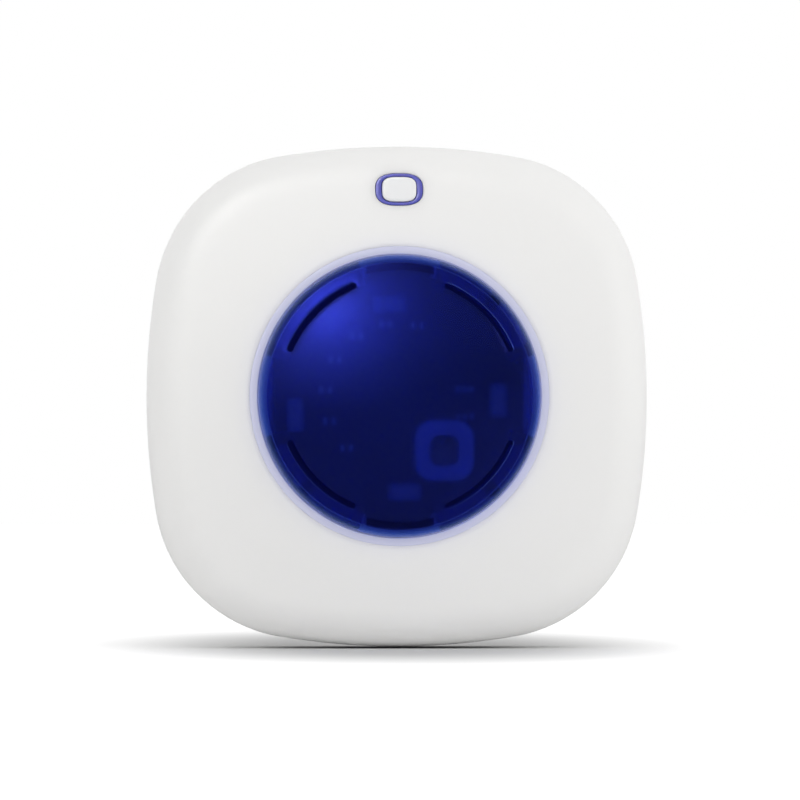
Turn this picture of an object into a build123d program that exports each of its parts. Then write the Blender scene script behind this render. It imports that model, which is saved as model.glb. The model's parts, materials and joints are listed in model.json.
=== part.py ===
from build123d import *
import os
from math import cos, hypot, radians, sin, sqrt

# Plug-in strobe siren for an indoor alarm: a white rounded-square case with a
# blue dome over a ring of light-emitting diodes, one button, and a round plug
# boss with two mains pins behind.
#
# Frame: the origin is the centre of the flat back that lies against the wall.
# +X is to the right of someone facing the siren, +Y goes into the wall and +Z
# is up. A height here is a distance in front of the wall, along -Y.
# All sizes are in millimetres.

# Case outline: four long side arcs joined by four tangent corner arcs
half_width = 46.5
side_radius = 132.0
corner_radius = 27.5
wall = 2.2

# Case depth and face
split_height = 14.0         # top of the rear cover
split_gap = 0.3             # shadow line between the covers
crown_height = 31.5         # where the crowned face would reach on the axis
crown_radius = 250.0
edge_round = 8.5            # round between the face and the sides
back_round = 4.0            # round between the back and the sides
tongue_thickness = 0.9      # rim of the rear cover that enters the front cover
tongue_height = 1.8
fit_gap = 0.1               # between pieces that slip into each other
cut_over = 1.0              # how far a cutting solid reaches past what it cuts

# Dome, and the ring of milky plastic round it
dome_radius = 26.4
dome_wall = 1.7
dome_height = 38.5          # top of the dome
dome_crown_radius = 60.0
dome_shoulder = 2.4
slot_inset = 4.1            # from the dome's side to the middle of the sound slots
slot_width = 1.2
slot_sweep = 44.0           # degrees
ring_width = 1.3            # of the ring's visible face
ring_gap = 0.3              # between the dome and the ring
ring_shoulder = 0.85        # foot of the ring, trapped under the front cover
opening_gap = 0.1           # between the ring and the front cover

# Lamp well, moulded inside the front cover
well_wall = 1.6
well_floor = 1.8
well_clear = 8.2            # from the main board to the underside of the well's floor
well_ledge = 1.5            # of the well's floor, under the lamp board's edge

# Dome skirts and snap hooks, one at each diagonal
skirt_half_angle = 28.0
skirt_depth = 2.6           # from the inside of the dome wall towards the axis
skirt_height = 5.6
hook_width = 2.0
hook_thickness = 1.2
hook_barb = 0.6
hook_drop = 1.2             # below the well's floor
hook_window_gap = 0.3

# Lamp board and what it carries
skirt_grip = 0.4            # of the skirts on the board's edge
lamp_board_thickness = 1.2
side_inset = 3.3            # from the dome's side to the board's flat sides
side_flat = 18.0            # length of each flat side
tab_width = 12.0            # tabs at its top and bottom
tab_gap = 0.15              # between the tabs and the dome wall
led_long = 5.6
led_short = 3.0
led_thickness = 0.9
led_lens_thickness = 0.25
led_end_inset = 0.7         # from the ends and sides of a diode to its lens
led_side_inset = 0.4
led_angles = [95.4, 357.5, 273.6, 190.4]    # on the lamp board
led_insets = [5.4, 4.1, 4.8, 3.2]           # from the board's rim
led_turn_angles = [0, 90, 0, 90]            # of the long sides
driver_size = (5.0, 4.0)
driver_thickness = 1.5
driver_shift = 3.9          # of the driver chip, to the right of the sound port's middle
driver_gap = 1.25           # between it and the port
chip_size = (2.0, 1.25)     # a small resistor or capacitor
chip_thickness = 0.6
lamp_chip_inset = 9.0       # from the board's rim
lamp_chip_angles = [75, 100, 125, 150, 175, 200, 225]

# Sound port: the rounded-square mouth of the sounder, seen through the dome
port_size = (10.8, 11.1)
port_corner = 3.5
port_hole = (5.4, 5.8)
port_hole_corner = 2.0
port_angle = -50.3          # on the lamp board
port_inset = 9.5            # of its middle from the board's rim
port_proud = 3.6            # above the lamp board

# Sounder behind the lamp board
siren_gap = 0.5             # between the cup and the well's floor
siren_wall = 1.2
siren_cap_thickness = 1.1
siren_cap_gap = 0.2         # under the lamp board
piezo_ledge = 1.6
piezo_height = 3.6          # of the disc above the cup's floor
disc_thickness = 0.4
disc_gap = 0.3
element_radius = 12.0
element_thickness = 0.25
vent_radius = 1.0           # hole for the leads in the cup's wall

# Main board
board_thickness = 1.6
board_height = 12.0         # its underside
board_margin = 1.2          # between its edge and the case
standoff_step = 8.0         # from a case screw to a board screw, along X and Z
standoff_radius = 3.0
post_inset = 14.5           # of the case screws from the sides, along X and Z
post_radius = 3.6
post_gap = 0.6              # between a post and the board

# Case screws and board screws
well_radius = 4.2
well_web = 2.0
case_screw_head = (2.9, 2.2)    # radius, height
case_screw_shank = (1.4, 11.0)  # radius, length
board_screw_head = (2.4, 1.6)
board_screw_shank = (1.1, 7.5)
thread_gap = 0.05
recess_width = 0.7
recess_share = 0.55         # depth of the cross recess in a screw head
recess_reach = 1.2          # length of the cross, as a share of the head's radius
pilot_spare = 1.0           # of a screw's hole past the screw's end
pilot_end_wall = 1.0        # left closed below the holes in the boss

# Button
button_shift = 0.97         # above the middle between the dome's ring and the case's edge
button_size = (6.3, 4.55)
button_corner = 1.9
button_proud = 0.9
button_ring_size = (8.8, 5.95)
button_ring_corner = 2.6
button_slide_gap = 0.1
button_travel = 0.5
button_top_round = 0.5
ring_flange = 0.8
ring_flange_thickness = 1.0
cap_flange = 0.6
cap_flange_thickness = 1.0
cap_stop_gap = 0.1
stem_radius = 1.4
stem_length = 2.0           # from the switch's plunger to the cap's flange

# Push switch under the button
switch_size = 6.0
switch_body = 3.5
switch_hole_gap = 0.1
plunger_radius = 1.7
plunger_proud = 1.6
plunger_foot_radius = 2.1
plunger_foot = 0.8
plunger_gap = 0.1
switch_lid = 1.0            # over the plunger's foot

# Plug: a round boss with two side notches and two round pins
boss_radius = 18.75
boss_length = 17.5
boss_wall = 3.0
boss_end = 3.0
boss_round = 1.5
notch_width = 7.0
notch_depth = 1.8
pin_radius = 2.4
pin_length = 19.0
pin_tip_share = 0.98        # round of the pin's end, as a share of its radius
pin_spacing = 19.0
pin_root_radius = 2.9       # where the pin passes through the end of the boss
pin_collar_radius = 4.0
pin_collar = 1.5
pin_tail_radius = 1.6
pin_tail = 5.0
pin_gap = 0.05
retainer_thickness = 2.4
retainer_gap = 0.25
retainer_screw_inset = 5.25     # from the inside of the boss

# Power parts, which hang from the main board into the boss
core_width = 15.0
core_thickness = 4.0
core_clear = 1.0            # between its corners and the inside of the boss
core_gap = 2.3              # between it and the capacitor
bobbin_end_inset = 2.0      # of the winding from the sides of the core
bobbin_side_inset = 1.8
bobbin_length = 9.0
bobbin_corner = 1.5
capacitor_radius = 5.0
capacitor_length = 15.0
capacitor_round = 0.6
capacitor_clear = 3.15      # between it and the inside of the boss
mains_lead_radius = 0.9
mains_pad_shift = 2.7       # of a lead's pad from its pin, away from the axis
mains_pad_rise = 3.4
lead_bend = 6.0

# Parts on the front of the main board
radio_board = (10.0, 17.0)
radio_board_thickness = 1.0
radio_shield = (8.0, 11.0)
radio_shield_height = 2.0
radio_shield_corner = 0.5
radio_inset = 15.5          # insets here run from the side of the case
header_foot = 0.8           # pins that lift the radio board
header_width = 1.2
processor_size = 9.0
processor_thickness = 1.2
processor_corner = 0.3
processor_x = -18.0
processor_inset = 14.5
fuse_radius = 1.8
fuse_length = 12.0
fuse_cap_length = 2.6
fuse_cap_radius = 2.1
fuse_inset = 13.5
fuse_z = 8.0
varistor_radius = 3.9
varistor_thickness = 3.6
varistor_inset = 12.0
varistor_z = -6.5
rectifier_size = (4.8, 4.0)
rectifier_thickness = 2.0
rectifier_inset = 18.0
rectifier_z = -1.0
choke_radius = 4.0
choke_height = 5.0
choke_neck = 3.2            # radius of its winding
choke_x = -12.5
choke_inset = 15.5
connector_size = (6.2, 5.0)
connector_height = 5.2
connector_corner = 0.4
connector_x = 9.5
connector_inset = 16.5
top_chips_x = [-8.0, 10.0, 13.0, 16.0]
bottom_chips_x = [-4.0, -1.0, 16.0, 19.0]
main_chip_inset = 16.5
indicator_size = (2.0, 1.25)
indicator_thickness = 0.8
indicator_shift = 5.2       # to the right of the switch
link_size = (10.0, 2.4)
link_step = 1.3             # of the link's middle outside the well's bore
link_window_gap = 0.5

# Siren leads and antenna wire
siren_lead_radius = 0.45
siren_lead_rise = 2.7       # above the main board, where they leave the cup
siren_lead_bend = 2.0
lead_bend_share = 0.9       # of the room that a short run leaves for a bend
antenna_radius = 0.6
antenna_inset = 5.5         # of its runs from the sides of the case
antenna_step = 16.0         # from the ends of its straight sides to the case screws
antenna_bend = 20.0
antenna_start = -7.0       # along Z, beside the radio board
antenna_end_step = 6.0      # from its end to the case screws, along X

# Blank plate in a recess of the back
plate_size = (36.0, 12.0)
plate_corner = 2.0
plate_depth = 0.5
plate_thickness = 0.4
plate_inset = 15.5          # of its middle from the lower side of the case

# Heights and radii that follow from the sizes above
ring_inner = dome_radius + ring_gap
ring_outer = ring_inner + ring_width
opening_radius = ring_outer + opening_gap
ring_foot = ring_outer + ring_shoulder
dome_inside = dome_radius - dome_wall
skirt_inside = dome_inside - skirt_depth
lamp_board_radius = skirt_inside + skirt_grip
well_bore = lamp_board_radius - well_ledge
siren_radius = well_bore - siren_gap
well_radius_inside = ring_foot + fit_gap
well_radius_outside = well_radius_inside + well_wall
board_top = board_height + board_thickness
well_floor_height = board_top + well_clear
well_top = well_floor_height + well_floor
lamp_board_top = well_top + lamp_board_thickness
skirt_low = lamp_board_top + fit_gap
siren_top = well_top - siren_cap_gap
cup_top = siren_top - siren_cap_thickness
switch_top = board_top + switch_body
plunger_top = switch_top + plunger_proud
post_place = half_width - post_inset
standoff_place = post_place - standoff_step
button_z = (opening_radius + half_width) / 2 + button_shift
button_low = plunger_top + fit_gap + stem_length
button_stop = button_low + cap_flange_thickness
link_z = -well_bore - link_step
cavity_radius = boss_radius - boss_wall
retainer_screw_z = cavity_radius - retainer_screw_inset
capacitor_z = cavity_radius - capacitor_clear - capacitor_radius
core_top_z = capacitor_z - capacitor_radius - core_gap
core_low_z = -sqrt((cavity_radius - core_clear) ** 2 - (core_width / 2) ** 2)
plate_z = plate_inset - half_width
diagonals = [45, 135, 225, 315]
post_signs = [(1, 1), (-1, 1), (-1, -1), (1, -1)]


def plate(sketch, low, high):
    """Raise a sketch, drawn as seen from the front, from one height to another."""
    return extrude(Plane.XZ.offset(low) * sketch, high - low)


def disc(radius, low, high, x=0, z=0):
    return plate(Pos(x, z) * Circle(radius), low, high)


def block(size, low, high, x=0, z=0, corner=0, turn=0):
    width, tall = size
    outline = RectangleRounded(width, tall, corner) if corner else Rectangle(width, tall)
    return plate(Pos(x, z) * Rot(Z=turn) * outline, low, high)


def sector(inner, outer, low, high, middle, half_angle):
    """A piece of a ring, centred on an angle in degrees from +X towards +Z."""
    ring = Circle(outer) - Circle(inner)
    reach = 2 * outer
    wedge = Polygon(
        (0, 0),
        (reach * cos(radians(half_angle)), -reach * sin(radians(half_angle))),
        (reach * cos(radians(half_angle)), reach * sin(radians(half_angle))),
        align=None,
    )
    return plate(Rot(Z=middle) * (ring & wedge), low, high)


def squircle(inset=0.0):
    """The case outline, moved inwards by an even distance."""
    middle = half_width - side_radius
    spread = side_radius - corner_radius
    corner = (middle + sqrt(2 * spread**2 - middle**2)) / 2
    touch_x = middle + (side_radius - inset) * (corner - middle) / spread
    touch_y = (side_radius - inset) * corner / spread
    tip = corner + (corner_radius - inset) * sqrt(0.5)
    side = ThreePointArc((touch_x, -touch_y), (half_width - inset, 0), (touch_x, touch_y))
    bend = ThreePointArc((touch_x, touch_y), (tip, tip), (touch_y, touch_x))
    arcs = [Rot(Z=90 * turn) * arc for turn in range(4) for arc in (side, bend)]
    return make_face(arcs)


def crown_at(radius, inset=0.0):
    """Height of the crowned face, at a distance from the axis."""
    ball = crown_radius - inset
    return crown_height - crown_radius + sqrt(ball**2 - radius**2)


def top_edges(form, above):
    return [edge for edge in form.edges() if edge.bounding_box().max.Y < -above]


def case_form(inset, low):
    """The front of the case as a solid pillow, moved inwards by an even distance."""
    prism = plate(squircle(inset), low, crown_height + cut_over)
    ball = Pos(0, crown_radius - crown_height, 0) * Sphere(crown_radius - inset)
    form = prism & ball
    return fillet(top_edges(form, low + cut_over), edge_round - inset)


def dome_form(inset, low):
    """The dome as a solid, moved inwards by an even distance."""
    drum = disc(dome_radius - inset, low, dome_height + cut_over)
    ball = Pos(0, dome_crown_radius - dome_height, 0) * Sphere(dome_crown_radius - inset)
    form = drum & ball
    return fillet(top_edges(form, low + cut_over), dome_shoulder - inset)


def polar(radius, angle):
    return radius * cos(radians(angle)), radius * sin(radians(angle))


def port_place():
    return polar(lamp_board_radius - port_inset, port_angle)


def hook_middle():
    """Distance of a snap hook's middle from the axis."""
    return dome_inside - hook_thickness / 2


def hook_window(angle):
    x, z = polar(hook_middle() + hook_barb / 2, angle)
    long = hook_thickness + hook_barb + 2 * hook_window_gap
    wide = hook_width + 2 * hook_window_gap
    return block((long, wide), well_floor_height - cut_over, well_top + cut_over, x, z, turn=angle)


def screw(head, shank):
    """A screw with its head's outer face at height 0, pointing to greater heights."""
    head_radius, head_height = head
    shank_radius, shank_length = shank
    body = disc(head_radius, 0, head_height) + disc(shank_radius, head_height, head_height + shank_length)
    depth = head_height * recess_share
    cross = block((head_radius * recess_reach, recess_width), -cut_over, depth)
    cross += block((recess_width, head_radius * recess_reach), -cut_over, depth)
    return body - cross


def lead(points, radius, bend):
    """A wire along straight runs that are joined by arcs."""
    path = FilletPolyline(*points, radius=bend)
    return sweep(Plane(origin=path @ 0, z_dir=path % 0) * Circle(radius), path=path)


def place(x, z, height):
    return (x, -height, z)


# The front cover, with its lamp well, screw posts and button hole


def lamp_well():
    tube = disc(well_radius_outside, well_floor_height, crown_at(well_radius_outside, wall / 2))
    tube -= disc(well_radius_inside, well_top, crown_height)
    tube -= disc(well_bore, well_floor_height - cut_over, well_top + cut_over)
    for angle in diagonals:
        tube -= hook_window(angle)
    window_width = link_size[0] + 2 * link_window_gap
    window_depth = link_size[1] / 2 + link_window_gap - link_z
    window = (window_width, window_depth)
    tube -= block(window, well_floor_height - cut_over, well_top + cut_over, z=-window_depth / 2)
    return tube


def screw_post(x, z):
    foot = well_seat() + well_web + fit_gap
    column = disc(post_radius, foot, crown_at(hypot(x, z), wall / 2), x, z)
    pilot_end = well_seat() + case_screw_shank[1] + pilot_spare
    return column - disc(case_screw_shank[0] + thread_gap, foot - cut_over, pilot_end, x, z)


def well_seat():
    """Height at which the head of a case screw seats."""
    return board_height - well_web - 2 * post_gap


def front_cover():
    low = split_height + split_gap
    shell = case_form(0, low) - case_form(wall, low - cut_over)
    rebate_inset = wall - tongue_thickness - fit_gap
    rebate_top = split_height + tongue_height + split_gap
    shell -= plate(squircle(rebate_inset) - squircle(wall + cut_over), low - cut_over, rebate_top)
    columns = [screw_post(x * post_place, z * post_place) for x, z in post_signs]
    shell += lamp_well() + columns
    shell -= disc(opening_radius, well_top + cut_over, dome_height)
    hole = (button_ring_size[0] + 2 * fit_gap, button_ring_size[1] + 2 * fit_gap)
    corner = button_ring_corner + fit_gap
    return shell - block(hole, button_stop, crown_height, z=button_z, corner=corner)


# The rear cover, with its plug boss


def boss():
    body = disc(boss_radius, -boss_length, wall)
    rim = body.edges().filter_by(GeomType.CIRCLE).sort_by(Axis.Y)[-1]
    body = fillet(rim, boss_round)
    body -= disc(cavity_radius, boss_end - boss_length, wall + cut_over)
    for side in (1, -1):
        z = side * (boss_radius - notch_depth / 2 + cut_over)
        notch = (notch_width, notch_depth + 2 * cut_over)
        body -= block(notch, -boss_length - cut_over, 0, z=z)
    for side in (1, -1):
        body -= disc(pin_root_radius + pin_gap, -boss_length - cut_over, 0, x=side * pin_spacing / 2)
    return body


def rear_shell():
    outer = plate(squircle(), 0, split_height)
    back = [edge for edge in outer.edges() if edge.bounding_box().min.Y > -fit_gap]
    outer = fillet(back, back_round)
    inner = plate(squircle(wall), wall, split_height + cut_over)
    floor = [edge for edge in inner.edges() if edge.bounding_box().min.Y > -wall - fit_gap]
    inner = fillet(floor, back_round - wall)
    tongue = squircle(wall - tongue_thickness) - squircle(wall)
    return outer - inner + plate(tongue, split_height - cut_over, split_height + tongue_height)


def screw_well(x, z):
    return disc(well_radius, wall / 2, well_seat() + well_web, x, z)


def screw_bore(x, z):
    head_hole = disc(case_screw_head[0] + 3 * fit_gap, -cut_over, well_seat(), x, z)
    return head_hole + disc(case_screw_shank[0] + 3 * fit_gap, 0, board_height, x, z)


def standoff(x, z):
    column = disc(standoff_radius, wall / 2, board_height, x, z)
    pilot_low = board_top - board_screw_shank[1] - pilot_spare
    return column - disc(board_screw_shank[0] + thread_gap, pilot_low, board_height + cut_over, x, z)


def retainer_height():
    """Underside of the plate that holds the pins in the boss."""
    return boss_end - boss_length + pin_collar


def rear_cover():
    shell = rear_shell() + boss()
    shell -= disc(cavity_radius, boss_end - boss_length, wall + cut_over)
    shell += [screw_well(x * post_place, z * post_place) for x, z in post_signs]
    for x, z in post_signs:
        shell -= screw_bore(x * post_place, z * post_place)
    shell += [standoff(x * standoff_place, z * standoff_place) for x, z in post_signs]
    for side in (1, -1):
        pillar_z = side * retainer_screw_z
        shell += disc(standoff_radius, boss_end / 2 - boss_length, retainer_height(), z=pillar_z)
        low = retainer_height() - pilot_depth()
        shell -= disc(board_screw_shank[0] + thread_gap, low, retainer_height() + cut_over, z=pillar_z)
    return shell - block(plate_size, -cut_over, plate_depth, z=plate_z, corner=plate_corner)


def pilot_depth():
    return pin_collar + boss_end - pilot_end_wall


def rating_plate():
    size = (plate_size[0] - 2 * fit_gap, plate_size[1] - 2 * fit_gap)
    low = plate_depth - plate_thickness
    return block(size, low, plate_depth, z=plate_z, corner=plate_corner - fit_gap)


# Light ring and dome


def light_ring():
    top = crown_at(ring_outer)
    foot_top = crown_at(ring_foot, wall) - fit_gap
    body = disc(ring_foot, well_top, foot_top) + disc(ring_outer, well_top, top)
    rim = body.edges().filter_by(GeomType.CIRCLE).sort_by(Axis.Y)[0]
    body = fillet(rim, ring_gap)
    return body - disc(ring_inner, well_top - cut_over, top + cut_over)


def dome_skirt(angle):
    outer = dome_radius - dome_wall / 2
    return sector(skirt_inside, outer, skirt_low, skirt_low + skirt_height, angle, skirt_half_angle)


def snap_hook(angle):
    x, z = polar(hook_middle(), angle)
    foot = well_floor_height - hook_drop
    prong = block((hook_thickness, hook_width), foot, skirt_low + hook_barb, x, z, turn=angle)
    x, z = polar(hook_middle() + hook_barb / 2, angle)
    barb = block((hook_thickness + hook_barb, hook_width), foot, foot + hook_barb, x, z, turn=angle)
    return prong + barb


def sound_slot(angle):
    line = CenterArc((0, 0), dome_radius - slot_inset, angle - slot_sweep / 2, slot_sweep)
    return plate(SlotArc(line, slot_width), skirt_low + skirt_height, dome_height + cut_over)


def dome_lens():
    shell = dome_form(0, well_top) - dome_form(dome_wall, well_top - cut_over)
    for angle in diagonals:
        shell += dome_skirt(angle) + snap_hook(angle)
    for angle in diagonals:
        shell -= sound_slot(angle)
    return shell


# Lamp board


def lamp_board():
    reach = dome_inside - tab_gap
    flats = Rectangle(2 * (dome_radius - side_inset), side_flat)
    outline = Circle(lamp_board_radius) + flats + Rectangle(tab_width, 2 * reach)
    board = plate(outline & Circle(reach), well_top, lamp_board_top)
    hole = (port_size[0] + 2 * fit_gap, port_size[1] + 2 * fit_gap)
    x, z = port_place()
    board -= block(hole, well_top - cut_over, lamp_board_top + cut_over, x, z, corner=port_corner + fit_gap)
    for angle in diagonals:
        board -= hook_window(angle)
    return board


def on_each_led(size, low, high):
    blocks = []
    for angle, inset, turn in zip(led_angles, led_insets, led_turn_angles):
        x, z = polar(lamp_board_radius - inset, angle)
        blocks.append(block(size, low, high, x, z, turn=turn))
    return blocks


def strobe_leds():
    top = lamp_board_top + led_thickness - led_lens_thickness
    return on_each_led((led_long, led_short), lamp_board_top, top)


def led_lenses():
    low = lamp_board_top + led_thickness - led_lens_thickness
    size = (led_long - 2 * led_end_inset, led_short - 2 * led_side_inset)
    return on_each_led(size, low, low + led_lens_thickness)


def led_driver():
    x, z = port_place()
    z += port_size[1] / 2 + driver_gap + driver_size[1] / 2
    return block(driver_size, lamp_board_top, lamp_board_top + driver_thickness, x + driver_shift, z)


def lamp_chips():
    chips = []
    for angle in lamp_chip_angles:
        x, z = polar(lamp_board_radius - lamp_chip_inset, angle)
        chips.append(block(chip_size, lamp_board_top, lamp_board_top + chip_thickness, x, z))
    return chips


# Sounder


def sound_port():
    x, z = port_place()
    top = lamp_board_top + port_proud
    body = block(port_size, siren_top, top, x, z, corner=port_corner)
    return body - block(port_hole, siren_top - cut_over, top + cut_over, x, z, corner=port_hole_corner)


def disc_radius():
    return siren_radius - siren_wall - disc_gap


def disc_height():
    return board_top + siren_wall + piezo_height


def siren_cup():
    body = disc(siren_radius, board_top, cup_top)
    body -= disc(siren_radius - siren_wall, disc_height(), cup_top + cut_over)
    body -= disc(siren_radius - siren_wall - piezo_ledge, board_top + siren_wall, cup_top)
    hole_height = board_top + siren_lead_rise
    for x, z in siren_lead_places():
        end = siren_lead_entry(x) - vent_radius
        drill = Cylinder(vent_radius, siren_radius - end, align=(Align.CENTER, Align.CENTER, Align.MIN))
        body -= Pos(*place(x, -siren_radius, hole_height)) * drill
    return body


def siren_cap():
    x, z = port_place()
    cap = disc(siren_radius, cup_top, siren_top)
    return cap - block(port_hole, cup_top - cut_over, siren_top + cut_over, x, z, corner=port_hole_corner)


def piezo_disc():
    return disc(disc_radius(), disc_height(), disc_height() + disc_thickness)


def piezo_element():
    low = disc_height() + disc_thickness
    return disc(element_radius, low, low + element_thickness)


def siren_lead_places():
    pitch = connector_size[0] / 4
    z = connector_inset - half_width
    return [(connector_x - pitch, z), (connector_x + pitch, z)]


def siren_lead_entry(x):
    """How far below the axis a lead comes through the inside of the cup's wall."""
    return sqrt((siren_radius - siren_wall - piezo_ledge) ** 2 - x**2)


def siren_leads():
    leads = []
    rise = board_top + siren_lead_rise
    for x, z in siren_lead_places():
        over = board_top + connector_height + siren_lead_radius + siren_lead_bend
        run_z = z + connector_size[1] / 2 + siren_lead_bend
        points = [place(x, -siren_lead_entry(x), rise), place(x, run_z, rise), place(x, run_z, over)]
        points += [place(x, z, over), place(x, z, board_top + connector_height)]
        leads.append(lead(points, siren_lead_radius, siren_lead_bend * lead_bend_share))
    return leads


def lead_connector():
    z = connector_inset - half_width
    high = board_top + connector_height
    return block(connector_size, board_top, high, connector_x, z, corner=connector_corner)


# Main board and what it carries


def main_board():
    board = plate(squircle(wall + board_margin), board_height, board_top)
    hole = board_screw_shank[0] + 3 * fit_gap
    low = board_height - cut_over
    high = board_top + cut_over
    for x, z in post_signs:
        board -= disc(post_radius + post_gap, low, high, x * post_place, z * post_place)
        board -= disc(hole, low, high, x * standoff_place, z * standoff_place)
    return board


def board_link():
    return block(link_size, board_top, well_top, z=link_z)


def processor():
    size = (processor_size, processor_size)
    z = half_width - processor_inset
    return block(size, board_top, board_top + processor_thickness, processor_x, z, corner=processor_corner)


def main_chips():
    z = half_width - main_chip_inset
    places = [(x, z) for x in top_chips_x] + [(x, -z) for x in bottom_chips_x]
    return [block(chip_size, board_top, board_top + chip_thickness, x, z) for x, z in places]


def radio_module():
    x = half_width - radio_inset
    low = board_top + header_foot
    board = block(radio_board, low, low + radio_board_thickness, x)
    header = (header_width, radio_board[1] - 2 * header_width)
    return board + block(header, board_top, low, x + radio_board[0] / 2 - header_width)


def radio_can():
    low = board_top + header_foot + radio_board_thickness
    high = low + radio_shield_height
    return block(radio_shield, low, high, half_width - radio_inset, corner=radio_shield_corner)


def antenna_wire():
    height = board_top + antenna_radius + fit_gap
    flat = half_width - antenna_inset
    turn = post_place - antenna_step
    radio_edge = half_width - radio_inset + radio_board[0] / 2
    start = (radio_edge + antenna_radius + fit_gap, antenna_start)
    route = [start, (flat, -turn), (turn, -flat), (-turn, -flat)]
    end = post_place - antenna_end_step
    route += [(-flat, -turn), (-flat, turn), (-end, flat + turn - end)]
    bends = [bend_for(route, index) for index in range(1, len(route) - 1)]
    return lead([place(x, z, height) for x, z in route], antenna_radius, bends)


def bend_for(route, index):
    """Radius of the wire's bend at a corner, which its two runs have room for."""
    before = hypot(route[index][0] - route[index - 1][0], route[index][1] - route[index - 1][1])
    after = hypot(route[index + 1][0] - route[index][0], route[index + 1][1] - route[index][1])
    return min(antenna_bend, min(before, after))


def fuse_at(shift):
    return Pos(*place(fuse_inset - half_width, fuse_z + shift, board_top + fuse_cap_radius))


def fuse_tube():
    return fuse_at(0) * Cylinder(fuse_radius, fuse_length - 2 * fuse_cap_length)


def fuse_caps():
    shift = (fuse_length - fuse_cap_length) / 2
    return [fuse_at(side * shift) * Cylinder(fuse_cap_radius, fuse_cap_length) for side in (1, -1)]


def varistor():
    middle = place(varistor_inset - half_width, varistor_z, board_top + varistor_radius + fit_gap)
    body = Pos(*middle) * Rot(Y=90) * Cylinder(varistor_radius, varistor_thickness)
    return fillet(body.edges().filter_by(GeomType.CIRCLE), varistor_thickness / 4)


def rectifier():
    x = rectifier_inset - half_width
    return block(rectifier_size, board_top, board_top + rectifier_thickness, x, rectifier_z)


def choke():
    z = choke_inset - half_width
    top = board_top + choke_height
    flange = choke_height / 4
    body = disc(choke_radius, board_top, board_top + flange, choke_x, z)
    body += disc(choke_neck, board_top, top, choke_x, z)
    return body + disc(choke_radius, top - flange, top, choke_x, z)


def indicator_led():
    return block(indicator_size, board_top, board_top + indicator_thickness, indicator_shift, button_z)


# Power parts behind the main board


def core_block(side_inset, end_inset, low, high, corner=0):
    depth = core_top_z - core_low_z
    size = (core_width - 2 * end_inset, depth - 2 * side_inset)
    return block(size, low, high, z=(core_top_z + core_low_z) / 2, corner=corner)


def transformer_core():
    high = board_height - core_thickness
    low = high - bobbin_length
    outer = core_block(0, 0, low - core_thickness, board_height)
    return outer - core_block(bobbin_side_inset - fit_gap, -cut_over, low, high)


def transformer_winding():
    high = board_height - core_thickness
    return core_block(bobbin_side_inset, bobbin_end_inset, high - bobbin_length, high, bobbin_corner)


def supply_capacitor():
    can = disc(capacitor_radius, board_height - capacitor_length, board_height, z=capacitor_z)
    end = can.edges().filter_by(GeomType.CIRCLE).sort_by(Axis.Y)[-1]
    return fillet(end, capacitor_round)


# Mains pins, their retainer and their leads


def mains_pin(side):
    x = side * pin_spacing / 2
    tip = -boss_length - pin_length
    collar_low = boss_end - boss_length
    shaft = disc(pin_radius, tip, -boss_length, x)
    end = shaft.edges().filter_by(GeomType.CIRCLE).sort_by(Axis.Y)[-1]
    shaft = fillet(end, pin_radius * pin_tip_share)
    shaft += disc(pin_root_radius, -boss_length, collar_low, x)
    shaft += disc(pin_collar_radius, collar_low, collar_low + pin_collar, x)
    tail_top = collar_low + pin_collar + pin_tail
    return shaft + disc(pin_tail_radius, collar_low, tail_top, x)


def pin_retainer():
    low = retainer_height()
    high = low + retainer_thickness
    body = disc(cavity_radius - retainer_gap, low, high)
    hole = board_screw_shank[0] + 3 * fit_gap
    for side in (1, -1):
        body -= disc(pin_tail_radius + fit_gap, low - cut_over, high + cut_over, x=side * pin_spacing / 2)
        body -= disc(hole, low - cut_over, high + cut_over, z=side * retainer_screw_z)
    return body


def mains_leads():
    leads = []
    low = boss_end - boss_length + pin_collar + pin_tail
    for side in (1, -1):
        x = side * pin_spacing / 2
        pad = x + side * mains_pad_shift
        third = (board_height - low) / 3
        points = [place(x, 0, low), place(x, 0, low + third)]
        points.append(place(pad, mains_pad_rise, board_height - third))
        points.append(place(pad, mains_pad_rise, board_height))
        leads.append(lead(points, mains_lead_radius, lead_bend))
    return leads


# Button and its switch


def button_ring():
    """The blue light guide that frames the button."""
    low = button_stop + cap_stop_gap
    guide = block(button_ring_size, low, crown_height, z=button_z, corner=button_ring_corner)
    guide &= case_form(0, split_height)
    wide = (button_ring_size[0] + 2 * ring_flange, button_ring_size[1] + 2 * ring_flange)
    flange = block(wide, low, low + ring_flange_thickness, z=button_z, corner=button_ring_corner)
    flange &= case_form(wall + fit_gap, split_height)
    hole = (button_size[0] + 2 * button_slide_gap, button_size[1] + 2 * button_slide_gap)
    inside = button_corner + button_slide_gap
    return guide + flange - block(hole, low - cut_over, crown_height + cut_over, z=button_z, corner=inside)


def button_cap():
    top = crown_at(button_z) + button_proud
    head = block(button_size, button_low, top, z=button_z, corner=button_corner)
    head = fillet(top_edges(head, top - fit_gap), button_top_round)
    wide = (button_size[0] + 2 * cap_flange, button_size[1] + 2 * cap_flange)
    flange = block(wide, button_low, button_stop, z=button_z, corner=button_corner)
    return head + flange + disc(stem_radius, plunger_top + fit_gap, button_stop, z=button_z)


def switch_case():
    lid = switch_top - switch_lid
    floor = lid - plunger_foot - button_travel - 2 * plunger_gap
    body = block((switch_size,) * 2, board_top, switch_top, z=button_z)
    body -= disc(plunger_radius + switch_hole_gap, floor, switch_top + cut_over, z=button_z)
    return body - disc(plunger_foot_radius + switch_hole_gap, floor, lid, z=button_z)


def switch_plunger():
    top = switch_top - switch_lid - plunger_gap
    body = disc(plunger_radius, top - plunger_foot, plunger_top, z=button_z)
    return body + disc(plunger_foot_radius, top - plunger_foot, top, z=button_z)


# Fasteners


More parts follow.
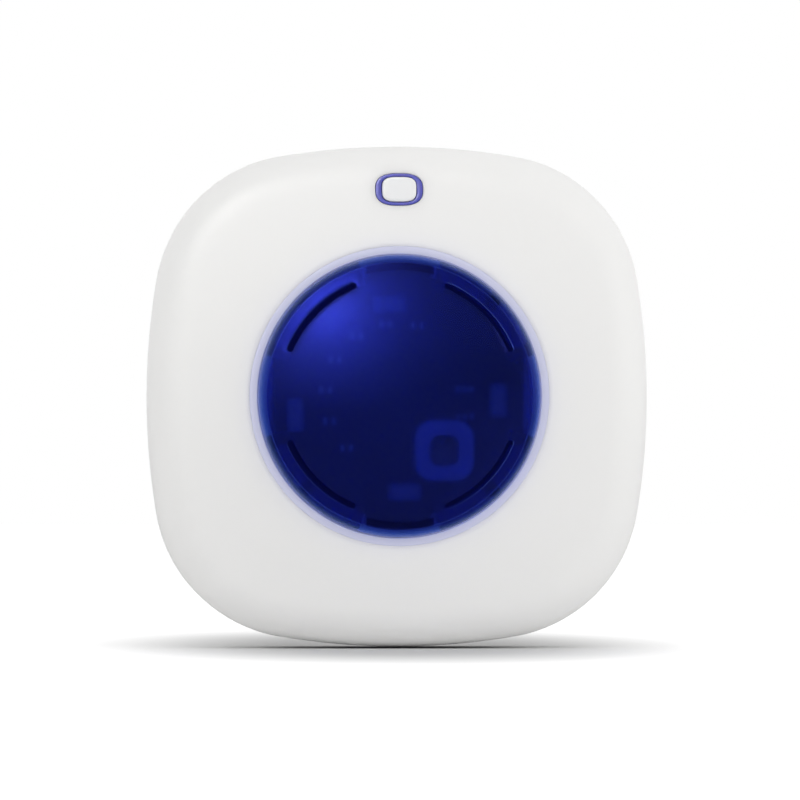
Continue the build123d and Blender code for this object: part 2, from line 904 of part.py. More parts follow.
def case_screws():
    one = Pos(*place(0, 0, well_seat() - case_screw_head[1])) * screw(case_screw_head, case_screw_shank)
    return [Pos(x * post_place, 0, z * post_place) * one for x, z in post_signs]


def board_screws():
    turned = Rot(Z=180) * screw(board_screw_head, board_screw_shank)
    one = Pos(*place(0, 0, board_top + board_screw_head[1])) * turned
    return [Pos(x * standoff_place, 0, z * standoff_place) * one for x, z in post_signs]


def retainer_screws():
    shank = (board_screw_shank[0], retainer_thickness + pilot_depth() - pilot_spare)
    turned = Rot(Z=180) * screw(board_screw_head, shank)
    top = retainer_height() + retainer_thickness + board_screw_head[1]
    return [Pos(*place(0, side * retainer_screw_z, top)) * turned for side in (1, -1)]


def write(name, shape):
    solids = shape if isinstance(shape, list) else [shape]
    found = [solid for one in solids for solid in one.solids()]
    export_step(found[0] if len(found) == 1 else Compound(children=found), f"parts/{name}.step")


NODES = {
    "front_cover": front_cover,
    "rear_cover": rear_cover,
    "rating_plate": rating_plate,
    "light_ring": light_ring,
    "dome_lens": dome_lens,
    "button_ring": button_ring,
    "button_cap": button_cap,
    "lamp_board": lamp_board,
    "strobe_leds": strobe_leds,
    "led_lenses": led_lenses,
    "led_driver": led_driver,
    "lamp_chips": lamp_chips,
    "sound_port": sound_port,
    "siren_cup": siren_cup,
    "siren_cap": siren_cap,
    "piezo_disc": piezo_disc,
    "piezo_element": piezo_element,
    "siren_leads": siren_leads,
    "lead_connector": lead_connector,
    "main_board": main_board,
    "board_link": board_link,
    "processor": processor,
    "main_chips": main_chips,
    "radio_module": radio_module,
    "radio_can": radio_can,
    "antenna_wire": antenna_wire,
    "fuse_tube": fuse_tube,
    "fuse_caps": fuse_caps,
    "varistor": varistor,
    "rectifier": rectifier,
    "choke": choke,
    "indicator_led": indicator_led,
    "switch_case": switch_case,
    "switch_plunger": switch_plunger,
    "transformer_core": transformer_core,
    "transformer_winding": transformer_winding,
    "supply_capacitor": supply_capacitor,
    "live_pin": lambda: mains_pin(1),
    "neutral_pin": lambda: mains_pin(-1),
    "pin_retainer": pin_retainer,
    "mains_leads": mains_leads,
    "case_screws": case_screws,
    "board_screws": board_screws,
    "retainer_screws": retainer_screws,
}

os.makedirs("parts", exist_ok=True)
for node, make in NODES.items():
    write(node, make())
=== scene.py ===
# %% [markdown]
# # A plug-in alarm siren, dressed for its picture
# The siren is a rounded white case that hangs in a wall socket. A blue dome in
# its face covers the lamp board and the sounder, a milky ring frames the dome,
# and a small button with a blue surround sits above it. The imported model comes
# in as a fixed frame: its pieces give every place and size, and they are never
# moved or reshaped here.

# %% Load the frame
import json
import math
import bpy
import bmesh
from mathutils import Matrix, Vector


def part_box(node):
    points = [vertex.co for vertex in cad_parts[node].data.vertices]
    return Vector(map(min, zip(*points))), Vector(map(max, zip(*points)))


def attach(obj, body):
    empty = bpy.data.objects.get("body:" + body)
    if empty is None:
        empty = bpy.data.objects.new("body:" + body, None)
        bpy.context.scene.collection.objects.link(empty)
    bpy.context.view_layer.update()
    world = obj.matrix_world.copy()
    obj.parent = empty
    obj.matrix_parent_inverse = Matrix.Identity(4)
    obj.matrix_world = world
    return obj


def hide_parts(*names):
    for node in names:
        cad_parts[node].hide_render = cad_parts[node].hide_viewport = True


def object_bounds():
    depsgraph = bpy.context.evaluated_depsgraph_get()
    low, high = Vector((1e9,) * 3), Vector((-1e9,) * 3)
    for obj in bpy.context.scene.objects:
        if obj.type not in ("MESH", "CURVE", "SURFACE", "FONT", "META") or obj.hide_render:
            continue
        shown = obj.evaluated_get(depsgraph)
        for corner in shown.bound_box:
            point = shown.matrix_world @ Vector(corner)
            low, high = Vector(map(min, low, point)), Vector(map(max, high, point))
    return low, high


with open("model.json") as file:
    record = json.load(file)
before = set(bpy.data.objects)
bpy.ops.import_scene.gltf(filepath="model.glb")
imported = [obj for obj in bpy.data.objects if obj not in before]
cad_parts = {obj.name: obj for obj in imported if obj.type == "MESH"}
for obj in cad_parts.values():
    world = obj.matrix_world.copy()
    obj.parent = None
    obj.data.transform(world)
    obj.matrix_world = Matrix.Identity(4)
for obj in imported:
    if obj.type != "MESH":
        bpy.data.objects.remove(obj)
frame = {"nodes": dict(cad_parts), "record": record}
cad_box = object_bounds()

scene = bpy.context.scene
mm = 0.001
for plain in list(bpy.data.materials):
    bpy.data.materials.remove(plain)
print("pieces in the frame:", len(frame["nodes"]))

# %% [markdown]
# ## The camera
# A long lens from well back keeps the case's sides nearly parallel. The camera
# stands a little to the left, so the near parts of the siren sit slightly right
# of the far ones, and a little below the case's middle, so it looks up by less
# than half a degree.

# %% Camera
turn_left, look_up = math.radians(2.3), math.radians(0.4)
far, view_width, film_width = 1.6, 149.45 * mm, 36

aim = Vector((0.73 * mm, -14 * mm, -0.62 * mm))
back = Vector((-math.sin(turn_left) * math.cos(look_up),
               -math.cos(turn_left) * math.cos(look_up), -math.sin(look_up)))
lens = bpy.data.cameras.new("camera")
lens.sensor_width = film_width
lens.lens = film_width * far / view_width
lens.clip_end = 20
camera = bpy.data.objects.new("camera", lens)
camera.location = aim + back * far
camera.rotation_euler = (-back).to_track_quat("-Z", "Y").to_euler()
scene.collection.objects.link(camera)
scene.camera = camera
scene.view_settings.view_transform = "Standard"
print("camera at", [round(v, 3) for v in camera.location], "lens", round(lens.lens, 1))

# %% [markdown]
# ## Writing node trees
# The table, the room, the finishes and the geometry trees are all written with
# the same few functions. Formulas in a node tree need many Math nodes, so a
# small class lets them be written the way one writes them on paper.

# %% Node helpers
def join(tree, value, socket):
    """Sets an input to a plain value, another node's output or a number in the tree."""
    value = getattr(value, "socket", value)
    if isinstance(value, bpy.types.NodeSocket):
        tree.links.new(value, socket)
    else:
        socket.default_value = value


def add(tree, kind, settings=None, **inputs):
    """A new node; inputs are named with _ for spaces."""
    made = tree.nodes.new(kind)
    for key, value in (settings or {}).items():
        setattr(made, key, value)
    for key, value in inputs.items():
        join(tree, value, made.inputs[key.replace("_", " ")])
    return made


def vector_calc(tree, operation, a, b=(0, 0, 0)):
    made = add(tree, "ShaderNodeVectorMath", {"operation": operation}, Vector=a)
    join(tree, b, made.inputs[1])
    return made.outputs


def tinted(tree, under, share, colour):
    """One colour over another, by a share."""
    blend = add(tree, "ShaderNodeMix", {"data_type": "RGBA"}, Factor=share)
    join(tree, under, blend.inputs[6])
    join(tree, colour, blend.inputs[7])
    return blend.outputs[2]


def blank_tree(owner, output):
    """Empties the shader tree of a material or a room; gives the tree and its Surface input."""
    owner.use_nodes = True
    owner.node_tree.nodes.clear()
    return owner.node_tree, add(owner.node_tree, output).inputs["Surface"]


print("node helpers ready")

# %% Numbers in a node tree
class Number:
    """A number in a node tree that can be added, multiplied and so on."""

    def __init__(self, tree, socket):
        self.tree, self.socket = tree, socket

    def calc(self, operation, *others):
        made = add(self.tree, "ShaderNodeMath", {"operation": operation})
        for value, socket in zip((self, *others, 0.0, 0.0), made.inputs):
            join(self.tree, value, socket)
        return Number(self.tree, made.outputs[0])

    def faded(self, start, end, low=0.0, high=1.0):
        """Goes softly from low to high while this number goes from start to end."""
        made = add(self.tree, "ShaderNodeMapRange", {"interpolation_type": "SMOOTHSTEP"}, Value=self,
                   From_Min=start, From_Max=end, To_Min=low, To_Max=high)
        return Number(self.tree, made.outputs["Result"])

    def __neg__(self):
        return self * -1.0

    def __rsub__(self, other):
        return -self + other


for sign, operation in (("add", "ADD"), ("radd", "ADD"), ("mul", "MULTIPLY"), ("rmul", "MULTIPLY"),
                        ("sub", "SUBTRACT"), ("truediv", "DIVIDE")):
    setattr(Number, f"__{sign}__", lambda self, other, kind=operation: self.calc(kind, other))


def numbers(tree, sockets):
    return {socket.name: Number(tree, socket) for socket in sockets if socket.name}


def sin(value):
    return value.calc("SINE")


def cos(value):
    return value.calc("COSINE")


def root(value):
    return value.calc("SQRT")


def mixed(share, low, high):
    return low + (high - low) * share


print("formulas can be written")

# %% [markdown]
# ## The table
# The siren stands on its lower side on a white table. A hair of space under the
# case lets light reach its lowest edge. Away from the case the table shows
# itself to the camera as white, and what light falls on it adds to that. The
# camera sees the table darker than the light that it throws on the case, and
# near the case the white is held back, so the soft shadow round the case is
# partly cast and partly painted shadow.

# %% Table
def link(obj):
    scene.collection.objects.link(obj)
    return obj


foot_gap, reach, front = 0.35 * mm, 3.0, -1.5
table_height = cad_box[0][2] - foot_gap
edges = ((-reach, front), (reach, front), (reach, reach), (-reach, reach))
table_mesh = bpy.data.meshes.new("table")
table_mesh.from_pydata([(x, y, table_height) for x, y in edges], [], [(0, 1, 2, 3)])
link(bpy.data.objects.new("table", table_mesh))

paint = bpy.data.materials.new("table_white")
table_mesh.materials.append(paint)
tree, surface = blank_tree(paint, "ShaderNodeOutputMaterial")
rays = numbers(tree, add(tree, "ShaderNodeLightPath").outputs)
seen = rays["Is Camera Ray"].calc("MAXIMUM", rays["Is Glossy Ray"])
shade = add(tree, "ShaderNodeMapRange", Value=seen, To_Min=0.92, To_Max=0.58)
matt = add(tree, "ShaderNodeBsdfDiffuse", Color=shade.outputs["Result"])
place = vector_calc(tree, "MULTIPLY", add(tree, "ShaderNodeTexCoord").outputs["Object"], (2.8, 1.0, 0.0))[0]
# Painted shadow: the camera-only glow is held back in an oval round the case, so the table looks darker there.
white = Number(tree, vector_calc(tree, "LENGTH", place)["Value"]).faded(0.05, 0.21, 0.0, 0.72)
glow = add(tree, "ShaderNodeEmission", Strength=white * rays["Is Camera Ray"])
both = add(tree, "ShaderNodeAddShader")
for part, socket in zip((matt, glow), both.inputs):
    join(tree, part.outputs[0], socket)
join(tree, both.outputs[0], surface)
print("table at", round(table_height * 1000, 2), "mm")

# %% [markdown]
# ## The light
# The world is the white room behind and around the table. The camera always
# sees it white. Shiny pieces see it white behind the siren and dark in front,
# with one soft glow at the upper left, which makes the highlight on the dome.
# One wide lamp in front and above gives the face its fall of light from top to
# bottom, one hangs overhead, and one on each side rounds the edges.

# %% World
world = bpy.data.worlds.new("room")
scene.world = world
tree, surface = blank_tree(world, "ShaderNodeOutputWorld")
rays = numbers(tree, add(tree, "ShaderNodeLightPath").outputs)
direction = add(tree, "ShaderNodeTexCoord").outputs["Generated"]
depth = Number(tree, add(tree, "ShaderNodeSeparateXYZ", Vector=direction).outputs["Y"])


def soft_glow(tree, towards, fall, strength):
    """A glow round one direction of the room, which fades evenly with the angle."""
    lined = vector_calc(tree, "DOT_PRODUCT", direction, Vector(towards).normalized())["Value"]
    return (Number(tree, lined).calc("ARCCOSINE") * (-1 / fall)).calc("EXPONENT") * strength


front_level, back_level = 0.46, 0.72
shiny = rays["Is Glossy Ray"].calc("MAXIMUM", rays["Is Transmission Ray"])
mirrored = depth.faded(-0.3, 0.3, 0.02, 1.0) + soft_glow(tree, (-0.384, -0.764, 0.518), 0.21, 21.0)
level = mixed(shiny, depth.faded(-0.2, 0.2, front_level, back_level), mirrored)
level = mixed(rays["Is Camera Ray"], level, 1.0)
room = add(tree, "ShaderNodeBackground", Color=(1, 1, 1, 1), Strength=level)
join(tree, room.outputs[0], surface)
print("room light in front and behind:", front_level, back_level)

# %% Soft lamps
def soft_lamp(name, place, size, watts):
    """A rectangular lamp that points at the siren."""
    light = bpy.data.lights.new(name, "AREA")
    light.shape = "RECTANGLE"
    light.size, light.size_y = size
    light.energy = watts
    lamp = link(bpy.data.objects.new(name, light))
    lamp.location = place
    lamp.rotation_euler = Vector(place).to_track_quat("Z", "Y").to_euler()
    return lamp


top_lamp = soft_lamp("top_lamp", (0.0, -0.42, 0.30), (0.8, 0.3), 0.88)
top_lamp.visible_glossy = False
soft_lamp("overhead_lamp", (0.0, 0.1, 1.15), (1.5, 0.9), 1.35)
soft_lamp("left_lamp", (-1.1, -0.45, 0.25), (0.7, 0.9), 1.95)
soft_lamp("right_lamp", (1.1, -0.45, 0.25), (0.7, 0.9), 3.75)
print("lamps:", len(bpy.data.lights))

# %% [markdown]
# ## Effects that several finishes share
# Moulded plastic is never perfectly even: the mould leaves a fine grain, the
# sheen drifts a little from place to place, and so does the colour. Turned and
# pressed metal carries fine lines. Circuit boards carry tracks. Each of these is
# a small node group, built once and placed in every material that needs it. All
# of them read Object coordinates, so they stay on the piece when it moves.

# %% Groups
def named_tree(name, kind, inputs, outputs):
    """A tree with named inputs and outputs; an input's kind is given or follows from its value."""
    tree = bpy.data.node_groups.new(name, kind + "NodeTree")
    kinds = {int: "Int", float: "Float", 3: "Vector", 4: "Color"}
    for label, value in inputs.items():
        form = value if isinstance(value, str) else kinds[len(value) if isinstance(value, tuple) else type(value)]
        socket = tree.interface.new_socket(name=label, in_out="INPUT", socket_type="NodeSocket" + form)
        if form != value:
            socket.default_value = value
    for label, form in outputs.items():
        tree.interface.new_socket(name=label, in_out="OUTPUT", socket_type="NodeSocket" + form)
    given = numbers(tree, tree.nodes.new("NodeGroupInput").outputs)
    return tree, given, tree.nodes.new("NodeGroupOutput").inputs


def group(name, inputs, outputs):
    """An empty shader group and the Object coordinates in it."""
    tree, given, result = named_tree(name, "Shader", inputs, outputs)
    return tree, given, result, add(tree, "ShaderNodeTexCoord").outputs["Object"]


def place_group(tree, name, **inputs):
    return numbers(tree, add(tree, "ShaderNodeGroup", {"node_tree": bpy.data.node_groups[name]}, **inputs).outputs)


def noise(tree, where, scale, detail=3.0, **inputs):
    made = add(tree, "ShaderNodeTexNoise", Vector=where, Scale=scale, Detail=detail, **inputs)
    return Number(tree, made.outputs["Fac"])


def skin_of(tree, given, result, relief, swing):
    """Ends a group: the relief, and a roughness that swings round its middle."""
    join(tree, relief * given["Depth"], result["Height"])
    join(tree, swing * given["Drift"] + given["Roughness"], result["Roughness"])
    print("group:", tree.name)


print("groups can be made")

# %% Mould grain
tree, given, result, where = group(
    "mould_grain", {"Grain per m": 5000.0, "Depth": 0.3, "Roughness": 0.4, "Drift": 0.05},
    {"Height": "Float", "Roughness": "Float"})
grain = noise(tree, where, given["Grain per m"], Roughness=0.6)
skin_of(tree, given, result, grain, noise(tree, where, 70.0) * 2.0 - 1.0 + (grain - 0.5))

# %% Colour drift
tree, given, result, where = group(
    "colour_drift",
    {"Colour": (0.8, 0.8, 0.8, 1), "Second": (0.7, 0.7, 0.7, 1), "Patches per m": 60.0, "Amount": 0.5},
    {"Colour": "Color"})
share = noise(tree, where, given["Patches per m"], 4.0) * given["Amount"]
join(tree, tinted(tree, given["Colour"], share, given["Second"]), result["Colour"])
print("group:", tree.name)

# %% Fine lines of turned or drawn metal
tree, given, result, where = group(
    "fine_lines", {"Across": (400.0, 9000.0, 400.0), "Depth": 0.3, "Roughness": 0.3, "Drift": 0.12},
    {"Height": "Float", "Roughness": "Float"})
drawn = vector_calc(tree, "MULTIPLY", where, given["Across"])[0]
lines = noise(tree, drawn, 1.0, 4.0, Roughness=0.65)
skin_of(tree, given, result, lines, lines * 2.0 - 1.0)

# %% Tracks of a circuit board
tree, given, result, where = group(
    "board_tracks",
    {"Mask colour": (0.02, 0.12, 0.04, 1), "Track colour": (0.03, 0.2, 0.07, 1), "Pitch per m": 420.0},
    {"Colour": "Color", "Height": "Float"})
flat = vector_calc(tree, "MULTIPLY", where, (1, 0, 1))[0]
cells = add(tree, "ShaderNodeTexVoronoi", {"distance": "CHEBYCHEV", "feature": "F1"},
            Vector=flat, Scale=given["Pitch per m"], Randomness=0.85)
band = Number(tree, cells.outputs["Distance"]).calc("PINGPONG", 0.22)
track = add(tree, "ShaderNodeMapRange", Value=band, From_Min=0.13, From_Max=0.15).outputs["Result"]
join(tree, tinted(tree, given["Mask colour"], track, given["Track colour"]), result["Colour"])
join(tree, track, result["Height"])
print("group:", tree.name)

# %% Painted light and shade on the dome
# Masks for painted light on the dome: the rim, painted lighter and glowing, and the tabs and slot floors, painted
# dark as shade.
tree, given, result, where = group(
    "dome_painted_light_bands",
    {"Rim start": 0.0248, "Rim end": 0.0260, "Tab half width": 0.0062, "Tab start": 0.0232,
     "Slot radius": 0.0221, "Slot half width": 0.00072, "Slot half angle": 0.40, "Skirt top": 0.0306},
    {"Rim": "Float", "Tab": "Float", "Slot": "Float"})
across, depth, up = numbers(tree, add(tree, "ShaderNodeSeparateXYZ", Vector=where).outputs).values()
wide, high, radius = across.calc("ABSOLUTE"), up.calc("ABSOLUTE"), root(across * across + up * up)
lean = (high.calc("ARCTAN2", wide) - math.pi / 4).calc("ABSOLUTE")
off_line = (radius - given["Slot radius"]).calc("ABSOLUTE")


def below(value, label):
    return value.calc("LESS_THAN", given[label])


tab = below(wide, "Tab half width") * below(radius, "Rim start") * radius.calc("GREATER_THAN", given["Tab start"])
slots = below(off_line, "Slot half width") * below(lean, "Slot half angle") * below(-depth, "Skirt top")
for label, share in (("Rim", radius.faded(given["Rim start"], given["Rim end"])), ("Tab", tab), ("Slot", slots)):
    join(tree, share, result[label])
print("group:", tree.name)

# %% [markdown]
# ## Finishes
# Each finish is one Principled shader. What is the same all over the surface
# is set on the shader itself: how clear it is, how it bends light, and the milky
# ring's painted glow. The groups bring in what changes from place to place:
# colour, roughness and relief, and on the dome a thin coat on the rim and painted
# light: a lighter, glowing rim and painted shade on the tabs and the slot floors.

# %% Plastic, metal and circuit board
finishes = {}


def shader(name, tint, skin, depth, **body_values):
    """tint and skin are (group, inputs); depth is the relief's height in millimetres."""
    made = bpy.data.materials.new(name)
    made.use_nodes = True
    finishes[name] = made
    tree, body = made.node_tree, made.node_tree.nodes["Principled BSDF"]
    for key, value in body_values.items():
        body.inputs[key.replace("_", " ")].default_value = value
    colour, surface = (place_group(tree, kind, **inputs) for kind, inputs in (tint, skin))
    join(tree, colour["Colour"], body.inputs["Base Color"])
    join(tree, surface["Roughness"], body.inputs["Roughness"])
    height = colour["Height"] if "Height" in colour else surface["Height"]
    bump = add(tree, "ShaderNodeBump", Strength=1.0, Distance=depth * mm, Height=height)
    join(tree, bump.outputs["Normal"], body.inputs["Normal"])
    return tree, body


def plastic(name, colour, second=None, rough=0.4, drift=0.05, grain=5000.0, depth=0.006, **body_values):
    second = second or tuple(0.93 * v for v in colour)
    tint = "colour_drift", dict(Colour=(*colour, 1), Second=(*second, 1), Amount=0.5)
    skin = "mould_grain", dict(Grain_per_m=grain, Depth=1.0, Roughness=rough, Drift=drift)
    return shader(name, tint, skin, depth, **body_values)


def metal(name, colour, rough=0.3, across=(300.0, 9000.0, 300.0)):
    second = tuple(0.8 * v for v in colour)
    tint = "colour_drift", dict(Colour=(*colour, 1), Second=(*second, 1), Patches_per_m=250.0, Amount=0.7)
    skin = "fine_lines", dict(Across=across, Depth=1.0, Roughness=rough, Drift=0.1)
    return shader(name, tint, skin, 0.004, Metallic=1.0)


def circuit(name, mask, track):
    tint = "board_tracks", dict(Mask_colour=(*mask, 1), Track_colour=(*track, 1))
    return shader(name, tint, ("mould_grain", dict(Roughness=0.35, Drift=0.06)), 0.03)


print("three kinds of finish")

# %% The white case
plastic("white_case", (0.87, 0.866, 0.855), (0.86, 0.856, 0.846), rough=0.42, drift=0.04, grain=4200.0,
        depth=0.004, Subsurface_Weight=0.6, Subsurface_Scale=0.0025, Subsurface_Radius=(1.0, 1.0, 1.0),
        Specular_IOR_Level=0.3)
plastic("button_white", (0.85, 0.855, 0.86), rough=0.38, depth=0.003)
plastic("plate_grey", (0.45, 0.46, 0.47), rough=0.5, depth=0.004)
print("white pieces:", list(finishes))

# %% The blue dome
tree, body = plastic("dome_blue", (0.06, 0.10, 0.54), (0.055, 0.09, 0.51), rough=0.22, drift=0.02, grain=900.0,
                     depth=0.001, IOR=1.45, Transmission_Weight=0.96, Specular_Tint=(0.06, 0.09, 1.0, 1),
                     Coat_Roughness=0.2, Emission_Strength=1.0)
# The rim is painted lighter and glows, a painted highlight, and its coat is real gloss. The tabs and slot floors are
# painted dark, a painted shade.
painted_light_bands = place_group(tree, "dome_painted_light_bands")
paint = body.inputs["Base Color"].links[0].from_socket
for band, colour in (("Rim", (0.14, 0.24, 0.72, 1)), ("Tab", (0.02, 0.03, 0.20, 1)), ("Slot", (0.02, 0.03, 0.22, 1))):
    paint = tinted(tree, paint, painted_light_bands[band], colour)
join(tree, paint, body.inputs["Base Color"])
join(tree, painted_light_bands["Rim"] * 0.15, body.inputs["Coat Weight"])
# The rim's emission is a painted glow; the dome is no lamp.
join(tree, tinted(tree, (0, 0, 0, 1), painted_light_bands["Rim"], (0.010, 0.030, 0.115, 1)), body.inputs["Emission Color"])
print("dome made clear blue")

# %% The milky ring and the button's surround
# The milky ring's emission is a painted glow: it lifts the shade that the dome casts on the ring's lower part.
plastic("milky_ring", (0.46, 0.465, 0.51), (0.45, 0.455, 0.50), rough=0.35, drift=0.03, grain=2500.0, depth=0.002,
        Subsurface_Weight=0.15, Subsurface_Scale=0.001, Subsurface_Radius=(1.0, 1.0, 1.0),
        Emission_Color=(0.62, 0.63, 0.97, 1), Emission_Strength=0.29)
plastic("button_blue", (0.085, 0.09, 0.44), (0.075, 0.08, 0.41), rough=0.25, drift=0.03, depth=0.002,
        Subsurface_Weight=0.3, Subsurface_Scale=0.002)
print("ring and surround")

# %% Boards and what they carry
circuit("board_dark", (0.006, 0.008, 0.012), (0.012, 0.016, 0.024))
circuit("board_green", (0.012, 0.09, 0.03), (0.02, 0.16, 0.06))
plastic("led_body", (0.26, 0.26, 0.24), rough=0.45)
plastic("led_lens", (0.50, 0.49, 0.32), (0.54, 0.51, 0.34), rough=0.2, grain=9000.0)
plastic("chip_black", (0.02, 0.02, 0.022), rough=0.5, grain=9000.0, depth=0.01)
plastic("port_white", (0.64, 0.63, 0.50), rough=0.45)
print("lamp board and main board")

# %% Sounder, wires and power parts
metal("brass_sheet", (0.72, 0.5, 0.2), across=(8000.0, 300.0, 300.0))
metal("tin_can", (0.62, 0.62, 0.6), rough=0.32, across=(300.0, 300.0, 6000.0))
metal("plated_cap", (0.7, 0.69, 0.66), rough=0.25)
metal("pin_nickel", (0.74, 0.72, 0.68), rough=0.22)
metal("screw_steel", (0.55, 0.55, 0.54), rough=0.34, across=(4000.0, 300.0, 4000.0))
plastic("piezo_white", (0.78, 0.75, 0.68), rough=0.6, depth=0.01)
plastic("fuse_glass", (0.75, 0.78, 0.78), rough=0.08, depth=0.001, Transmission_Weight=0.6)
plastic("ferrite", (0.07, 0.07, 0.075), rough=0.6, grain=3000.0, depth=0.02)
plastic("indicator_blue", (0.2, 0.35, 0.7), rough=0.3, Transmission_Weight=0.3)
for name, colour, rough in (
        ("siren_black", (0.018, 0.018, 0.02), 0.42), ("lead_red", (0.5, 0.02, 0.02), 0.4),
        ("lead_brown", (0.16, 0.06, 0.02), 0.4), ("wire_black", (0.02, 0.02, 0.02), 0.42),
        ("connector_cream", (0.76, 0.72, 0.6), 0.42), ("varistor_blue", (0.03, 0.10, 0.36), 0.35),
        ("winding_tape", (0.72, 0.56, 0.10), 0.3), ("capacitor_sleeve", (0.02, 0.03, 0.10), 0.28),
        ("switch_black", (0.02, 0.02, 0.02), 0.4)):
    plastic(name, colour, rough=rough)
print("finishes:", len(finishes))

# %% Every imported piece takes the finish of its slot
slots = {part.get("node", part.get("name")): part["material_slot"] for part in frame["record"]["subparts"]}
for name, obj in frame["nodes"].items():
    obj.data.materials.clear()
    obj.data.materials.append(finishes[slots[name]])
print("dressed", len(slots), "pieces")

# %% [markdown]
# ## A rule instead of a drawing
# The case has one outline, a square with bowed sides and round corners, and
# everything on the covers follows it: the sides, the round into the face, the
# rim and the walls inside. So the covers aren't modelled by hand. A section is
# drawn as a list of rows, and a Geometry Nodes tree carries each row once
# round the outline.

# %% Geometry trees
def form_tree(name, sockets):
    """An empty Geometry Nodes tree."""
    tree, given, _ = named_tree(name, "Geometry", {"Geometry": "Geometry", **sockets}, {"Geometry": "Geometry"})
    return tree, given


def close_tree(tree, shape):
    """Ends a tree: instances become real, and the faces smooth."""
    real = add(tree, "GeometryNodeRealizeInstances", Geometry=shape)
    smooth = add(tree, "GeometryNodeSetShadeSmooth", Geometry=real.outputs[0])
    join(tree, smooth.outputs[0], tree.nodes["Group Output"].inputs[0])


def formed(name, start, tree, **values):
    """Runs a tree on a start mesh and keeps the result as a plain mesh object."""
    maker = link(bpy.data.objects.new(name + "_start", start))
    modifier = maker.modifiers.new("form", "NODES")
    modifier.node_group = tree
    sockets = {item.name: item.identifier for item in tree.interface.items_tree if item.in_out == "INPUT"}
    for label, value in values.items():
        modifier[sockets[label]] = value
    real = maker.evaluated_get(bpy.context.evaluated_depsgraph_get())
    mesh = bpy.data.meshes.new_from_object(real)
    mesh.name = name
    bpy.data.objects.remove(maker)
    return link(bpy.data.objects.new(name, tidy(mesh)))


print("trees can be built")

# %% [markdown]
# ## The outline rule
# One number, `around`, goes from 0 to 1 once round the case. A quarter of it
# is one side with half a corner at each end. The side is an arc of 132 mm
# radius and the corner an arc of 27.5 mm, and they meet in line, so the
# direction that the wall faces turns without a jump. The rule finds that
# direction from the distance walked along the outline, then the point, and
# turns both by quarter turns.

# %% Sizes of the case
case_sizes = {
    "Half width": 46.5 * mm, "Side radius": 132.0 * mm, "Corner radius": 27.5 * mm,
    "Crown height": 31.5 * mm, "Crown radius": 250.0 * mm, "Edge round": 8.5 * mm,
}


def outline_rule(size, around):
    """Corner centre, wall direction and side flag for a place along the outline."""
    middle = size["Half width"] - size["Side radius"]
    spread = size["Side radius"] - size["Corner radius"]
    corner = (middle + root(spread * spread * 2.0 - middle * middle)) * 0.5
    meet = corner.calc("ARCTAN2", corner - middle)
    side_length = size["Side radius"] * meet
    corner_length = size["Corner radius"] * (math.pi / 4 - meet)
    quarter = (around * 4.0 + 0.5).calc("FLOOR")
    local = around * 4.0 - quarter
    mirror = local.calc("SIGN")
    walked = local.calc("ABSOLUTE") * (side_length + corner_length) * 2.0
    on_corner = walked.calc("GREATER_THAN", side_length)
    facing = mixed(on_corner, walked / size["Side radius"],
                   meet + (walked - side_length) / size["Corner radius"])
    return {"middle": middle, "corner": corner, "on_corner": on_corner, "mirror": mirror,
            "facing": facing, "turn": quarter * (math.pi / 2)}


def turned(x, z, angle):
    return x * cos(angle) - z * sin(angle), x * sin(angle) + z * cos(angle)


def outline_point(size, rule, inset):
    """The point of the outline, moved inwards by an inset."""
    reach = mixed(rule["on_corner"], size["Side radius"], size["Corner radius"]) - inset
    x = mixed(rule["on_corner"], rule["middle"], rule["corner"]) + reach * cos(rule["facing"])
    z = rule["corner"] * rule["on_corner"] + reach * sin(rule["facing"])
    return turned(x, z * rule["mirror"], rule["turn"])


print("outline rule for a case", round(case_sizes["Half width"] * 2000), "mm wide")

# %% [markdown]
# ## The cover tree
# A section is a chain of rows, and each row knows how it lies on the case:
# on a circle round the axis, on the outline at some inset, or part of the way
# between the two. It lies at a fixed height, on the crowned face, or on the
# ball-shaped round between face and side. The tree makes a grid with one
# column for each place along the outline and one line for each row, and sends
# every grid point to its place. A row's `sink` is how far it lies under the
# outer skin, so the inside of the wall follows the same rule.

# %% Cover tree
row_marks = ("share", "reach", "inset", "height", "crown", "round", "turn", "sink")
tree, size = form_tree("carry_round_case", {**case_sizes, "Columns": 288})
rows = add(tree, "GeometryNodeAttributeDomainSize", Geometry=size["Geometry"]).outputs["Point Count"]
sheet = add(tree, "GeometryNodeMeshGrid", Size_X=1.0, Size_Y=1.0, Vertices_X=size["Columns"] + 1.0, Vertices_Y=rows)
spot = add(tree, "ShaderNodeSeparateXYZ", Vector=add(tree, "GeometryNodeInputPosition").outputs[0])
spot = numbers(tree, spot.outputs)
around = spot["X"] + 0.5
line = ((spot["Y"] + 0.5) * (Number(tree, rows) - 1.0)).calc("ROUND")
row = {}
for mark in row_marks:
    named = add(tree, "GeometryNodeInputNamedAttribute", {"data_type": "FLOAT"}, Name=mark)
    read = add(tree, "GeometryNodeSampleIndex", {"data_type": "FLOAT"}, Geometry=size["Geometry"],
               Value=named.outputs[0], Index=line)
    row[mark] = Number(tree, read.outputs[0])

rule = outline_rule(size, around)
ball = outline_point(size, rule, size["Edge round"])
out = turned(cos(rule["facing"]), sin(rule["facing"]) * rule["mirror"], rule["turn"])
base = size["Crown height"] - size["Crown radius"]
arm = size["Crown radius"] - size["Edge round"]
ball_up = root(arm * arm - ball[0] * ball[0] - ball[1] * ball[1])
swing = ((ball[0] * out[0] + ball[1] * out[1]) / arm).calc("ARCCOSINE")
from_side = sin(swing * (1.0 - row["turn"])) / sin(swing)
from_face = sin(swing * row["turn"]) / sin(swing)
radius = size["Edge round"] - row["sink"]
rounds = [b + radius * (from_side * o + from_face * b / arm) for b, o in zip(ball, out)]
round_up = base + ball_up + radius * from_face * ball_up / arm
print("round between face and side: rule written")

